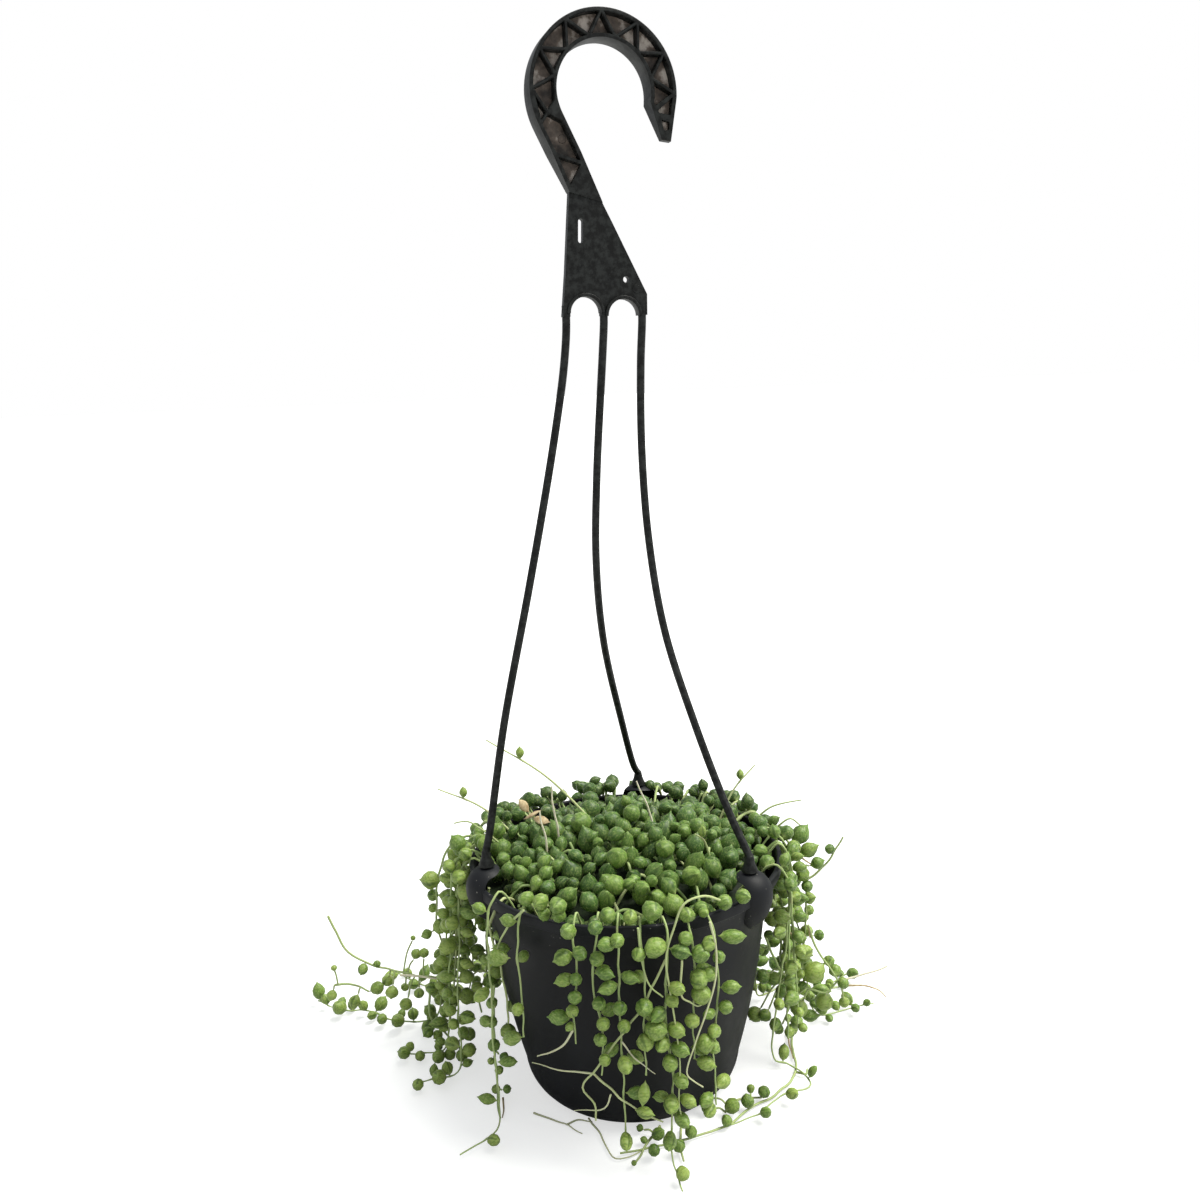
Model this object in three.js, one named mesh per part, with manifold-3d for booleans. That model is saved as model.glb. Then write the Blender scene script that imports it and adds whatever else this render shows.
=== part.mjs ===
// A string of pearls (trailing succulent) growing in a black moulded hanging pot.
// Millimetres, +Z up. The origin is the centre of the pot's base, on the surface that it stands on.
// Azimuths are degrees clockwise from the back (+Y), seen from above: +X is 90, the front is 180.

import * as THREE from 'three';
import { mergeVertices } from 'three/addons/utils/BufferGeometryUtils.js';
import Module from 'manifold-3d';

const wasm = await Module();
wasm.setup();

// ---- driving dimensions ----
const GAP = 0.3;                 // clearance between neighbouring pieces
const FINEST = 0.12;             // detail smaller than this is merged away

const POT_HEIGHT = 124;
const POT_WALL = 1.8;
const POT_FACETS = 36;
const FOOT_RADIUS = 42;          // edge of the flat base
const CORNER = { width: 15.2, height: 16 };   // rounding from the base into the wall
const WALL_TOP = { radius: 71.6, height: 98 };
const WALL_BULGE = 1.9;          // how far the wall swells between corner and shoulder
const SHOULDER_DIP = { across: 0.46, up: 0.5 };  // the shoulder sags in a little at this share of it
const SHOULDER_TOP = { radius: 78.8, height: 118 };
const RIM_RADIUS = 80.3;
const RIM_STEP = 0.7;            // height of the step from the shoulder out to the rim band
const RIM_LIP = 2.4;             // width of the rim's flat top
const DRAIN = { count: 6, radius: 4, ring: 32, sides: 6 };

const LUG_AZIMUTHS = [8, 128, 248];
const LUG_RING = 74.2;           // the lugs' axes and the hanger's feet stand on this radius
const LUG_PROFILE = [[0, 132], [5.5, 131], [10, 126], [10.8, 118.5], [7.4, 109], [0, 102]];
const LUG_MIDDLE = 118;          // height that the lug's hollow shrinks towards
const LUG_WALL = 1.7;
const LUG_SIDES = 10;
const FOOT_SIDES = 8;
const LUG_CORE = { low: 108, high: 118, radius: 11.8 };  // pearls keep out of this upright capsule
// The lugs are hoods, open to the pot's inside: [radius, height] of their mouth from rim to crown.
const ARCH = [[78.6, 126], [76.5, 128.6], [70.5, 129.8], [67.5, 131]];
const ARCH_SILL = 0.5;           // the mouth starts this far below the rim's top
const INNER_RING = 70;           // the crown of the plant and its stems' roots are inside this
const NECK_RADIUS = 2;           // the foot's neck, in a hole through the lug's crown
const NECK_HOLE = { radius: NECK_RADIUS + 0.4, from: 126, to: 134 };

const HOOK = { x: 2.3, z: 491.8, inner: 22.3, outer: 34.7, thickness: 11, web: 1.8 };
const HOOK_START = -10;          // degrees on the hook's circle where the tip begins
const SHANK_START = 206;         // and where it runs out into the straight shank
const RIB_PITCH = 30;            // degrees between the ribs' nodes on one flange
const RIB_HALF = 0.7;
const FLANGE = { inner: 0.09, outer: 0.91 };  // where the ribs' nodes sit across the hook's band
const HOOK_TIP = [[30.4, 472.2], [35, 471.6]];
// The tip thins towards its end on both faces, from a height down to another.
const TIP_TAPER = { top: 492, foot: 470, halfThickness: 1.3, from: 20, to: 40 };
const TIP_NODE = [26.4, 485.2];  // where the tip's first rib meets the inner flange
const TIP_POCKETS = [
  [[35.9, 491.8], [35, 481.8], [28.5, 482.8], [27.2, 484.4]],
  [[28.9, 481.6], [34.8, 480.4], [34.4, 475.6], [30.9, 475.6]],
];
// The shank's pockets below the arc, each as [turn, share across the band] pairs.
const SHANK_CROSSING = [200, 0.5];
const SHANK_POCKETS = [
  [[180, FLANGE.outer], SHANK_CROSSING, [192, FLANGE.inner], [166, FLANGE.inner]],
  [[180, FLANGE.outer], [206, FLANGE.outer], SHANK_CROSSING],
  [SHANK_CROSSING, [206, FLANGE.outer], [234, FLANGE.outer], [252, FLANGE.inner], [212, FLANGE.inner]],
  [[234, FLANGE.outer], [266, FLANGE.outer], [252, FLANGE.inner]],
];
const SHANK_ENDS = { outer: 268, inner: 290 };
const HANGER_YAW = 17;           // the hook's plane is turned by this about the vertical

const PLATE_THICKNESS = 3.5;
const PLATE_FOOT = 394;          // height where the plate ends and the strands begin
const PLATE_SIDES = { left: -20.8, right: 20.7 };
const PLATE_TOP = [[20.9, 403.5], [4.6, 436.2], [-5, 455], [-15.2, 450], [-18.6, 413.5]];
const ARCHES = [{ x: -9.7, z: 395.4, radius: 7.5 }, { x: 8.8, z: 393.9, radius: 7.6 }];
const ARCH_BEAD = { width: 1.4, proud: 0.7 };
const SLOT = { low: [-10.8, 427.9], high: [-10.4, 436.3], half: 1.2 };
const PLATE_HOLE = { x: 10.7, z: 410.3, radius: 1.45 };

// The three strands, each from its leg under the plate to its lug. A bow lists points on the
// way: the share of the way outwards, the height, and how far the strand bows sideways.
const STRAND_RADIUS = 1.9;
const LEFT_BOW = [
  [0.01, 384, 0], [0.05, 368, 0], [0.11, 351, 0], [0.2, 328, 0], [0.31, 302, 0], [0.47, 266, 0],
  [0.76, 203, 0], [0.96, 148, 0]];
const BACK_BOW = [
  [0, 378, -1.1], [0.03, 319, -6.6], [0.12, 277, -9.6], [0.34, 232, -10], [0.69, 179, -5.5],
  [0.93, 145, -1.5]];
const RIGHT_BOW = [
  [-0.03, 372, 0], [-0.05, 330, 0], [0, 285, 0], [0.15, 241, 0], [0.46, 197, 0], [0.78, 160, 0]];
const STRANDS = [
  { leg: -18.9, lug: 248, bow: LEFT_BOW },
  { leg: -0.5, lug: 8, bow: BACK_BOW },
  { leg: 18.6, lug: 128, bow: RIGHT_BOW },
];
// The foot: a flare that sits on the lug, a neck through its crown and a barb inside it.
const FOOT_TOP = 141;
const FOOT_PROFILE = [
  [0, FOOT_TOP], [STRAND_RADIUS, FOOT_TOP - 0.6], [4.2, 132.5],
  [NECK_RADIUS, 132.4], [NECK_RADIUS, 129.2], [3.4, 129], [0, 124]];

const SOIL_TOP = 104;
const HOLE_DEPTH = 5;
const HOLE_ROOM = 0.7;           // clearance round a stem in its hole in the soil

// The mat is a low dome of pearls round a smaller core.
const MAT = { radius: 57, edge: 118.5, crown: 130, pearls: 70, core: 1, sides: 18 };
const MAT_SINK = 4;              // how deep pearls and runners are rooted in its top
const MAT_FRINGE = 7;            // how far its outermost pearls stand out past its edge
const MAT_STEM = { count: 7, ring: 40, radius: 1.2, first: 20 };
// Runners that rise out of the mat, each from its root to its tip.
const RUNNERS = [
  { root: [-8, 14], tip: [-72, 32, 177] },
  { root: [-50, 22], tip: [-101, 38, 148] },
  { root: [48, 30], tip: [74, 42, 153] },
  { root: [44, -18], tip: [34, -34, 147] },
];
const RUNNER = { steps: 4, lift: 7, young: 2.4, stalk: 3.6 };

const STEM_RADIUS = 0.9;
const STEM_CORNER = 1.35;        // a stem is a three-sided bar whose corners stand out by this
const STEM_STEP = 14;            // length of one straight step of a hanging stem
const FINE_STEPS = 400;          // a route is measured in this many short steps
const RIM_PLACES = [0, 1, 2, 2.5, 3, 3.5];   // steps over the rim, counted in the route's points
const HANG_HEIGHT = 121;         // a stem starts to hang here, past the rim
const FLOOR_TURN = { from: 6, to: 3.4, out: 8 };  // a long stem's turn onto the floor
const RUN_STEP = 18;             // length of one bend of its run along the floor
const ROOT_RING = 67.5;          // the trailing stems come up here, between the mat and the wall
const HANG_RING = 86;            // and hang down here, clear of the rim
const STEM_BALLS = 4;            // pearls are kept clear of other stems as balls at this spacing
const PEARL_SPACING = 20;
const STALK = 1.6;               // length of the stalk between the stem and a pearl
const PEARL_SMALL = 4;
const PEARL_LARGE = 5.5;
const PEARL_SIDES = 5;
const STEM_SIDES = 5;            // of an upright stem, and of its hole in the soil
const GOLDEN_ANGLE = 137.5;

// Each trailing stem: azimuth, length it hangs below the rim, how far it leans out on the way
// down, length that it runs on along the floor, and how far that run turns to the side (degrees).
const STRINGS = [
  { at: 154, drop: 94, lean: -1, run: 0, turn: 0 },
  { at: 161.5, drop: 66, lean: 0, run: 0, turn: 0 },
  { at: 169, drop: 118, lean: -4, run: 12, turn: 0 },
  { at: 177, drop: 70, lean: 0, run: 0, turn: 0 },
  { at: 184, drop: 104, lean: -2, run: 0, turn: 0 },
  { at: 190.5, drop: 70, lean: 0, run: 0, turn: 0 },
  { at: 198, drop: 56, lean: 0, run: 0, turn: 0 },
  { at: 217, drop: 60, lean: 0, run: 0, turn: 0 },
  { at: 231, drop: 118, lean: 2, run: 14, turn: 10 },
  { at: 265, drop: 118, lean: 8, run: 12, turn: -12 },
  { at: 277, drop: 118, lean: 18, run: 20, turn: -6 },
  { at: 290, drop: 118, lean: 34, run: 74, turn: 2 },
  { at: 303, drop: 118, lean: 30, run: 52, turn: 4 },
  { at: 317, drop: 118, lean: 22, run: 30, turn: 4 },
  { at: 331, drop: 118, lean: 10, run: 16, turn: 4 },
  { at: 346, drop: 96, lean: 4, run: 0, turn: 0 },
  { at: 23, drop: 70, lean: 0, run: 0, turn: 0 },
  { at: 36, drop: 98, lean: 4, run: 0, turn: 0 },
  { at: 49, drop: 118, lean: 14, run: 26, turn: -4 },
  { at: 61, drop: 118, lean: 24, run: 36, turn: -4 },
  { at: 73, drop: 118, lean: 24, run: 30, turn: 0 },
  { at: 85, drop: 112, lean: 6, run: 0, turn: 0 },
  { at: 97, drop: 118, lean: -10, run: 75, turn: 138 },
  { at: 111, drop: 84, lean: 4, run: 0, turn: 0 },
];

// ---- small helpers ----
const radians = (degrees) => degrees * Math.PI / 180;
const mix = (a, b, share) => a + (b - a) * share;
const polar = (azimuth, radius, z) => new THREE.Vector3(
  radius * Math.sin(radians(azimuth)), radius * Math.cos(radians(azimuth)), z);

// Repeatable draws between two limits.
function seededDraw(seed) {
  let state = seed;
  return (low, high) => {
    state = (state * 16807) % 2147483647;
    return low + (high - low) * state / 2147483647;
  };
}

// A closed geometry as a solid that can be joined and cut, its faces turned outwards.
function solid(geometry) {
  const bare = geometry.clone();
  bare.deleteAttribute('normal');
  bare.deleteAttribute('uv');
  const merged = mergeVertices(bare, 1e-4);
  const points = merged.getAttribute('position').array;
  const corners = Array.from(merged.index.array);
  const faces = [];
  let volume = 0;
  const at = (i) => new THREE.Vector3(points[3 * i], points[3 * i + 1], points[3 * i + 2]);
  for (let i = 0; i < corners.length; i += 3) {
    const [a, b, c] = corners.slice(i, i + 3);
    if (a === b || b === c || c === a) continue;
    faces.push([a, b, c]);
    volume += at(a).dot(at(b).cross(at(c)));
  }
  if (volume < 0) faces.forEach((face) => face.reverse());
  return new wasm.Manifold(new wasm.Mesh({
    numProp: 3,
    vertProperties: new Float32Array(points),
    triVerts: new Uint32Array(faces.flat()),
  }));
}

const joined = (solids) => solids.reduce((all, next) => all.add(next));

// A finished solid as a named mesh.
function piece(name, shape, color, roughness) {
  const mesh = shape.simplify(FINEST).getMesh();
  const geometry = new THREE.BufferGeometry();
  geometry.setAttribute('position', new THREE.BufferAttribute(new Float32Array(mesh.vertProperties), 3));
  geometry.setIndex(new THREE.BufferAttribute(new Uint32Array(mesh.triVerts), 1));
  const material = new THREE.MeshStandardMaterial({ color, roughness, metalness: 0, flatShading: true });
  const result = new THREE.Mesh(geometry, material);
  result.name = name;
  return result;
}

// A solid of revolution about the vertical, from [radius, height] pairs.
function turned(profile, sides) {
  const geometry = new THREE.LatheGeometry(profile.map(([r, z]) => new THREE.Vector2(r, z)), sides);
  return solid(geometry.rotateX(Math.PI / 2));
}

// The same with its axis moved to a place on the floor plan.
const turnedAt = (place, profile, sides) => turned(profile, sides).translate([place.x, place.y, 0]);

// The profile of a plain upright cylinder.
const plug = (radius, from, to) => [[0, from], [radius, from], [radius, to], [0, to]];

// An upright slab of a flat outline drawn in x and z, from y = near to y = far.
function slab(shape, near, far) {
  const geometry = new THREE.ExtrudeGeometry(shape, {
    depth: far - near, bevelEnabled: false, curveSegments: 10 });
  return solid(geometry.rotateX(Math.PI / 2).translate(0, far, 0));
}

const outline = (points) => new THREE.Shape(points.map(([x, z]) => new THREE.Vector2(x, z)));

function ring(sides, radius) {
  return new THREE.Shape(Array.from({ length: sides }, (_, i) => {
    const angle = 2 * Math.PI * (i + 0.5) / sides;
    return new THREE.Vector2(radius * Math.cos(angle), radius * Math.sin(angle));
  }));
}

// A round bar of a few sides along a curve.
function bar(curve, radius, sides, steps) {
  return solid(new THREE.ExtrudeGeometry(ring(sides, radius), { steps, extrudePath: curve }));
}

// ---- pot ----
// The wall's outline from the base's edge to the shoulder's top, moved inwards by inset, with
// the given numbers of steps round the corner and up the wall.
function wallOutline(inset, cornerSteps = 3, wallSteps = 3) {
  const points = [];
  for (let i = 0; i <= cornerSteps; i++) {
    const angle = radians(90 * i / cornerSteps);
    points.push([
      FOOT_RADIUS + (CORNER.width - inset) * Math.sin(angle),
      CORNER.height - (CORNER.height - inset) * Math.cos(angle)]);
  }
  for (let i = 1; i <= wallSteps; i++) {
    const share = i / wallSteps;
    const straight = mix(FOOT_RADIUS + CORNER.width, WALL_TOP.radius, share);
    points.push([
      straight + 4 * WALL_BULGE * share * (1 - share) - inset,
      mix(CORNER.height, WALL_TOP.height, share)]);
  }
  points.push([
    mix(WALL_TOP.radius, SHOULDER_TOP.radius, SHOULDER_DIP.across) - inset,
    mix(WALL_TOP.height, SHOULDER_TOP.height, SHOULDER_DIP.up)]);
  points.push([SHOULDER_TOP.radius - inset, SHOULDER_TOP.height]);
  return points;
}

const RIM_OUTLINE = [
  [RIM_RADIUS, SHOULDER_TOP.height + RIM_STEP], [RIM_RADIUS, POT_HEIGHT],
  [RIM_RADIUS - RIM_LIP, POT_HEIGHT]];

function potShell() {
  const inside = wallOutline(POT_WALL, 1, 2).reverse();
  return turned([[0, 0], ...wallOutline(0), ...RIM_OUTLINE, ...inside, [0, POT_WALL]], POT_FACETS);
}

// The pot's inside, down the middle of its wall, with the lugs' mouth above the rim.
function lugTrimmer() {
  const top = LUG_PROFILE[0][1] + 2;
  return turned([
    [0, POT_WALL], ...wallOutline(POT_WALL / 2),
    [RIM_RADIUS - RIM_LIP / 2, POT_HEIGHT - ARCH_SILL],
    ...ARCH,
    [ARCH[ARCH.length - 1][0], top],
    [0, top]], POT_FACETS);
}

const lugAt = (azimuth, profile, sides = LUG_SIDES) => (
  turnedAt(polar(azimuth, LUG_RING, 0), profile, sides));

// The lug's hollow: its profile drawn in towards its middle by the wall.
function lugHollow() {
  const widest = Math.max(...LUG_PROFILE.map(([r]) => r));
  const across = (widest - LUG_WALL) / widest;
  const half = LUG_PROFILE[0][1] - LUG_MIDDLE;
  const along = (half - LUG_WALL) / half;
  return LUG_PROFILE.map(([r, z]) => [r * across, LUG_MIDDLE + (z - LUG_MIDDLE) * along]);
}

function makePot() {
  const trimmer = lugTrimmer();
  const lugs = LUG_AZIMUTHS.map((azimuth) => lugAt(azimuth, LUG_PROFILE).subtract(trimmer));
  const hollows = LUG_AZIMUTHS.map((azimuth) => lugAt(azimuth, lugHollow()));
  const necks = LUG_AZIMUTHS.map((azimuth) => (
    lugAt(azimuth, plug(NECK_HOLE.radius, NECK_HOLE.from, NECK_HOLE.to), FOOT_SIDES)));
  const drains = Array.from({ length: DRAIN.count }, (_, i) => {
    const place = polar(i * 360 / DRAIN.count, DRAIN.ring, 0);
    return turnedAt(place, plug(DRAIN.radius, -1, 2 * POT_WALL), DRAIN.sides);
  });
  return joined([potShell(), ...lugs]).subtract(joined([...hollows, ...necks, ...drains]));
}

// ---- hanger ----
// A point on the hook's band: turn runs from the tip round the hook and on down the straight
// shank, across runs from the inner flange (0) to the outer flange (1).
function bandPoint(turn, across) {
  const radius = mix(HOOK.inner, HOOK.outer, across);
  const angle = radians(Math.min(turn, SHANK_START));
  const point = [HOOK.x + radius * Math.cos(angle), HOOK.z + radius * Math.sin(angle)];
  const beyond = radians(Math.max(0, turn - SHANK_START)) * (HOOK.inner + HOOK.outer) / 2;
  const heading = radians(SHANK_START + 90);
  return [point[0] + beyond * Math.cos(heading), point[1] + beyond * Math.sin(heading)];
}

function bandRun(from, to, across, steps) {
  return Array.from({ length: steps + 1 }, (_, i) => bandPoint(mix(from, to, i / steps), across));
}

// A polygon drawn counter-clockwise, with every edge moved inwards.
function shrunk(points, inset) {
  const area = points.reduce((sum, [x, z], i) => {
    const [nextX, nextZ] = points[(i + 1) % points.length];
    return sum + x * nextZ - nextX * z;
  }, 0);
  const loop = area > 0 ? points : [...points].reverse();
  const edges = loop.map(([x, z], i) => {
    const [nextX, nextZ] = loop[(i + 1) % loop.length];
    const length = Math.hypot(nextX - x, nextZ - z);
    const along = [(nextX - x) / length, (nextZ - z) / length];
    return { along, from: [x - along[1] * inset, z + along[0] * inset] };
  });
  return edges.map((edge, i) => {
    const before = edges[(i + edges.length - 1) % edges.length];
    const cross = before.along[0] * edge.along[1] - before.along[1] * edge.along[0];
    if (Math.abs(cross) < 1e-6) return edge.from;
    const gap = [edge.from[0] - before.from[0], edge.from[1] - before.from[1]];
    const reach = (gap[0] * edge.along[1] - gap[1] * edge.along[0]) / cross;
    return [before.from[0] + before.along[0] * reach, before.from[1] + before.along[1] * reach];
  });
}

// The pockets between the hook's ribs, as polygons: a zigzag round the arc, then the shank's.
function hookPockets() {
  const { inner, outer } = FLANGE;
  const half = RIB_PITCH / 2;
  const pockets = SHANK_POCKETS.map((pocket) => pocket.map(([turn, across]) => bandPoint(turn, across)));
  pockets.push(...TIP_POCKETS);
  for (let turn = 0; turn < 180; turn += RIB_PITCH) {
    const atTip = turn === 0;
    const back = atTip ? HOOK_START : turn - half;
    pockets.push([...bandRun(turn, turn + RIB_PITCH, outer, 2), bandPoint(turn + half, inner)]);
    pockets.push([
      bandPoint(turn, outer), ...bandRun(turn + half, back, inner, 2), ...(atTip ? [TIP_NODE] : [])]);
  }
  return pockets.map((pocket) => shrunk(pocket, RIB_HALF));
}

function hookBody() {
  const shape = outline([
    ...HOOK_TIP,
    ...bandRun(HOOK_START + 4, SHANK_START, 1, 16),
    bandPoint(SHANK_ENDS.outer, 1),
    bandPoint(SHANK_ENDS.inner, 0),
    ...bandRun(SHANK_START, HOOK_START, 0, 14)]);
  const half = HOOK.thickness / 2;
  const cuts = hookPockets().flatMap((pocket) => [
    slab(outline(pocket), -half - 1, -HOOK.web / 2),
    slab(outline(pocket), HOOK.web / 2, half + 1)]);
  return slab(shape, -half, half).subtract(joined([...cuts, ...tipCuts()]));
}

// The wedges that thin the tip, one on each face.
function tipCuts() {
  const { top, foot, halfThickness, from, to } = TIP_TAPER;
  const half = HOOK.thickness / 2;
  return [-1, 1].map((side) => {
    const wedge = outline([
      [side * half, top], [side * halfThickness, foot], [side * (half + 1), foot], [side * (half + 1), top]]);
    return slab(wedge, -to, -from).rotate([0, 0, 90]);
  });
}

function archPoints({ x, z, radius }) {
  return Array.from({ length: 9 }, (_, i) => {
    const angle = Math.PI * i / 8;
    return [x + radius * Math.cos(angle), z + radius * Math.sin(angle)];
  });
}

// The plate under the hook: two arches over the three legs, a slot and a small hole.
function hangerPlate() {
  const [left, right] = ARCHES;
  const plate = outline([
    [PLATE_SIDES.left, PLATE_FOOT], [left.x - left.radius, PLATE_FOOT],
    ...archPoints(left).reverse(),
    [left.x + left.radius, PLATE_FOOT], [right.x - right.radius, PLATE_FOOT],
    ...archPoints(right).reverse(),
    [PLATE_SIDES.right, PLATE_FOOT], ...PLATE_TOP]);
  const slot = new THREE.Path();
  slot.moveTo(SLOT.low[0] - SLOT.half, SLOT.low[1]);
  slot.absarc(...SLOT.low, SLOT.half, Math.PI, 2 * Math.PI);
  slot.absarc(...SLOT.high, SLOT.half, 0, Math.PI);
  slot.closePath();
  const hole = new THREE.Path();
  hole.absarc(PLATE_HOLE.x, PLATE_HOLE.z, PLATE_HOLE.radius, 0, 2 * Math.PI);
  plate.holes.push(slot, hole);
  const half = PLATE_THICKNESS / 2;
  const face = half + ARCH_BEAD.proud;
  const beads = ARCHES.map((arch) => {
    const wide = archPoints({ ...arch, radius: arch.radius + ARCH_BEAD.width });
    return slab(outline([...archPoints(arch), ...wide.reverse()]), -face, face);
  });
  return joined([slab(plate, -half, half), ...beads]);
}

function strandCurve({ leg, lug, bow }) {
  const yaw = radians(HANGER_YAW);
  const top = new THREE.Vector3(leg * Math.cos(yaw), leg * Math.sin(yaw), 0);
  const end = polar(lug, LUG_RING, 0);
  const points = [top.clone().setZ(PLATE_FOOT + 5), top.clone().setZ(PLATE_FOOT - 2)];
  for (const [share, z, sideways] of bow) {
    const point = top.clone().lerp(end, share);
    points.push(new THREE.Vector3(point.x + sideways, point.y, z));
  }
  points.push(end.clone().setZ(FOOT_TOP - 1.5));
  return new THREE.CatmullRomCurve3(points);
}

function makeHanger() {
  const head = joined([hookBody(), hangerPlate()]).rotate([0, 0, HANGER_YAW]);
  const strands = STRANDS.map((strand) => bar(strandCurve(strand), STRAND_RADIUS, 6, 18));
  const feet = LUG_AZIMUTHS.map((azimuth) => lugAt(azimuth, FOOT_PROFILE, FOOT_SIDES));
  return joined([head, ...strands, ...feet]);
}

// ---- pearls and stems ----
// One pearl: a bead with a pointed tip, on a tapering stalk that starts at root. It looks along
// the line from root to centre.
function pearl(root, centre, radius) {
  const along = centre.clone().sub(root);
  const reach = along.length();
  const profile = [
    [0, -reach], [0.86 * radius, -0.5 * radius], [0.93 * radius, 0.4 * radius], [0, 1.3 * radius]];
  const geometry = new THREE.LatheGeometry(profile.map(([r, y]) => new THREE.Vector2(r, y)), PEARL_SIDES);
  const turn = new THREE.Quaternion().setFromUnitVectors(new THREE.Vector3(0, 1, 0), along.normalize());
  return solid(geometry.applyQuaternion(turn).translate(centre.x, centre.y, centre.z));
}

// The way a trailing stem takes: out of the soil, over the rim, down outside the pot, and, where
// it is long enough, on along the floor in gentle bends.
function stringRoute({ at, drop, lean, run, turn }, draw) {
  const over = POT_HEIGHT + draw(3, 6);
  const sway = draw(-2.5, 2.5);
  const out = polar(at, 1, 0);
  const side = polar(at + 90, 1, 0);
  const place = (radius, z, aside = 0) => out.clone().multiplyScalar(radius)
    .addScaledVector(side, aside).setZ(z);
  const low = Math.max(POT_HEIGHT - drop, FLOOR_TURN.from);
  const middle = mix(POT_HEIGHT, low, 0.5);
  const points = [
    place(ROOT_RING, SOIL_TOP - HOLE_DEPTH + 0.5),
    place(ROOT_RING, SOIL_TOP + 3),
    place(ROOT_RING + 4.5, HANG_HEIGHT),
    place(RIM_RADIUS - 1.8, over),
    place(HANG_RING - 1.2, HANG_HEIGHT),
    place(HANG_RING + 0.35 * lean, middle + 12, sway),
    place(HANG_RING + 0.7 * lean, middle - 14, -0.5 * sway),
    place(HANG_RING + lean, low, 0)];
  if (run > 0) {
    const wander = draw(-12, 12);
    const steps = Math.max(1, Math.round(run / RUN_STEP));
    let point = place(HANG_RING + lean + FLOOR_TURN.out, FLOOR_TURN.to);
    points.push(point);
    for (let i = 1; i <= steps; i++) {
      const heading = at + turn * Math.min(1, i / 2) + (i % 2 ? wander : -wander);
      point = point.clone().add(polar(heading, run / steps, 0));
      points.push(point);
    }
  }
  return new THREE.CatmullRomCurve3(points);
}

// The straight steps that a stem takes along its route: short ones over the rim, up to the point
// where it starts to hang, then long even ones.
function stemSteps(route) {
  const spans = route.points.length - 1;
  const overRim = RIM_PLACES.map((place) => route.getPoint(place / spans));
  const spaced = route.getSpacedPoints(FINE_STEPS);
  const start = spaced.findIndex(({ x, y, z }) => z < HANG_HEIGHT && Math.hypot(x, y) > RIM_RADIUS);
  const rest = (FINE_STEPS - start) * route.getLength() / FINE_STEPS;
  const count = Math.max(1, Math.round(rest / STEM_STEP));
  const hanging = Array.from({ length: count }, (_, i) => (
    spaced[Math.round(mix(start, FINE_STEPS, (i + 1) / count))]));
  return [...overRim, ...hanging];
}

// A path whose steps are its own listed points.
class SteppedPath extends THREE.Curve {
  constructor(points) {
    super();
    this.points = points;
  }

  getPoint(t) {
    const place = t * (this.points.length - 1);
    const i = Math.min(Math.floor(place), this.points.length - 2);
    return this.points[i].clone().lerp(this.points[i + 1], place - i);
  }

  getPointAt(u) {
    return this.getPoint(u);
  }

  getTangentAt(u) {
    return this.getTangent(u);
  }
}

// Places along those steps at even spacing, with the direction of travel.
function spacedAlong(route, spacing) {
  const points = stemSteps(route);
  const places = [];
  let travelled = 0;
  for (let i = 1; i < points.length; i++) {
    const step = points[i].clone().sub(points[i - 1]);
    const length = step.length();
    const along = step.normalize();
    while ((places.length + 1) * spacing <= travelled + length) {
      const reach = (places.length + 1) * spacing - travelled;
      places.push({ point: points[i - 1].clone().addScaledVector(along, reach), along });
    }
    travelled += length;
  }
  return places;
}

// How far a point in the pot's upright section lies from the wall and rim.
function distanceToWall(radius, z) {
  const line = [...wallOutline(0), ...RIM_OUTLINE, ...wallOutline(POT_WALL).reverse()];
  let nearest = Infinity;
  for (let i = 0; i + 1 < line.length; i++) {
    const [r0, z0] = line[i];
    const [r1, z1] = line[i + 1];
    const length = Math.hypot(r1 - r0, z1 - z0);
    const reach = ((radius - r0) * (r1 - r0) + (z - z0) * (z1 - z0)) / length ** 2;
    const share = Math.min(1, Math.max(0, reach));
    nearest = Math.min(nearest, Math.hypot(radius - mix(r0, r1, share), z - mix(z0, z1, share)));
  }
  return nearest;
}

// Whether a ball keeps clear of the pot, the lugs, the mat, the soil, the floor and other balls.
function isClear(centre, radius, balls) {
  const ring = Math.hypot(centre.x, centre.y);
  const keep = radius + GAP + 0.1;
  if (centre.z < radius + GAP) return false;
  if (distanceToWall(ring, centre.z) < keep) return false;
  const inMat = ring < MAT.radius + MAT_FRINGE + radius || centre.z < SOIL_TOP + keep;
  if (ring < INNER_RING + 6 && inMat) return false;
  for (const azimuth of LUG_AZIMUTHS) {
    const { low, high } = LUG_CORE;
    const axis = polar(azimuth, LUG_RING, Math.min(Math.max(centre.z, low), high));
    if (axis.distanceTo(centre) < LUG_CORE.radius + radius) return false;
  }
  return balls.every((ball) => ball.centre.distanceTo(centre) >= ball.radius + keep);
}

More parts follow.
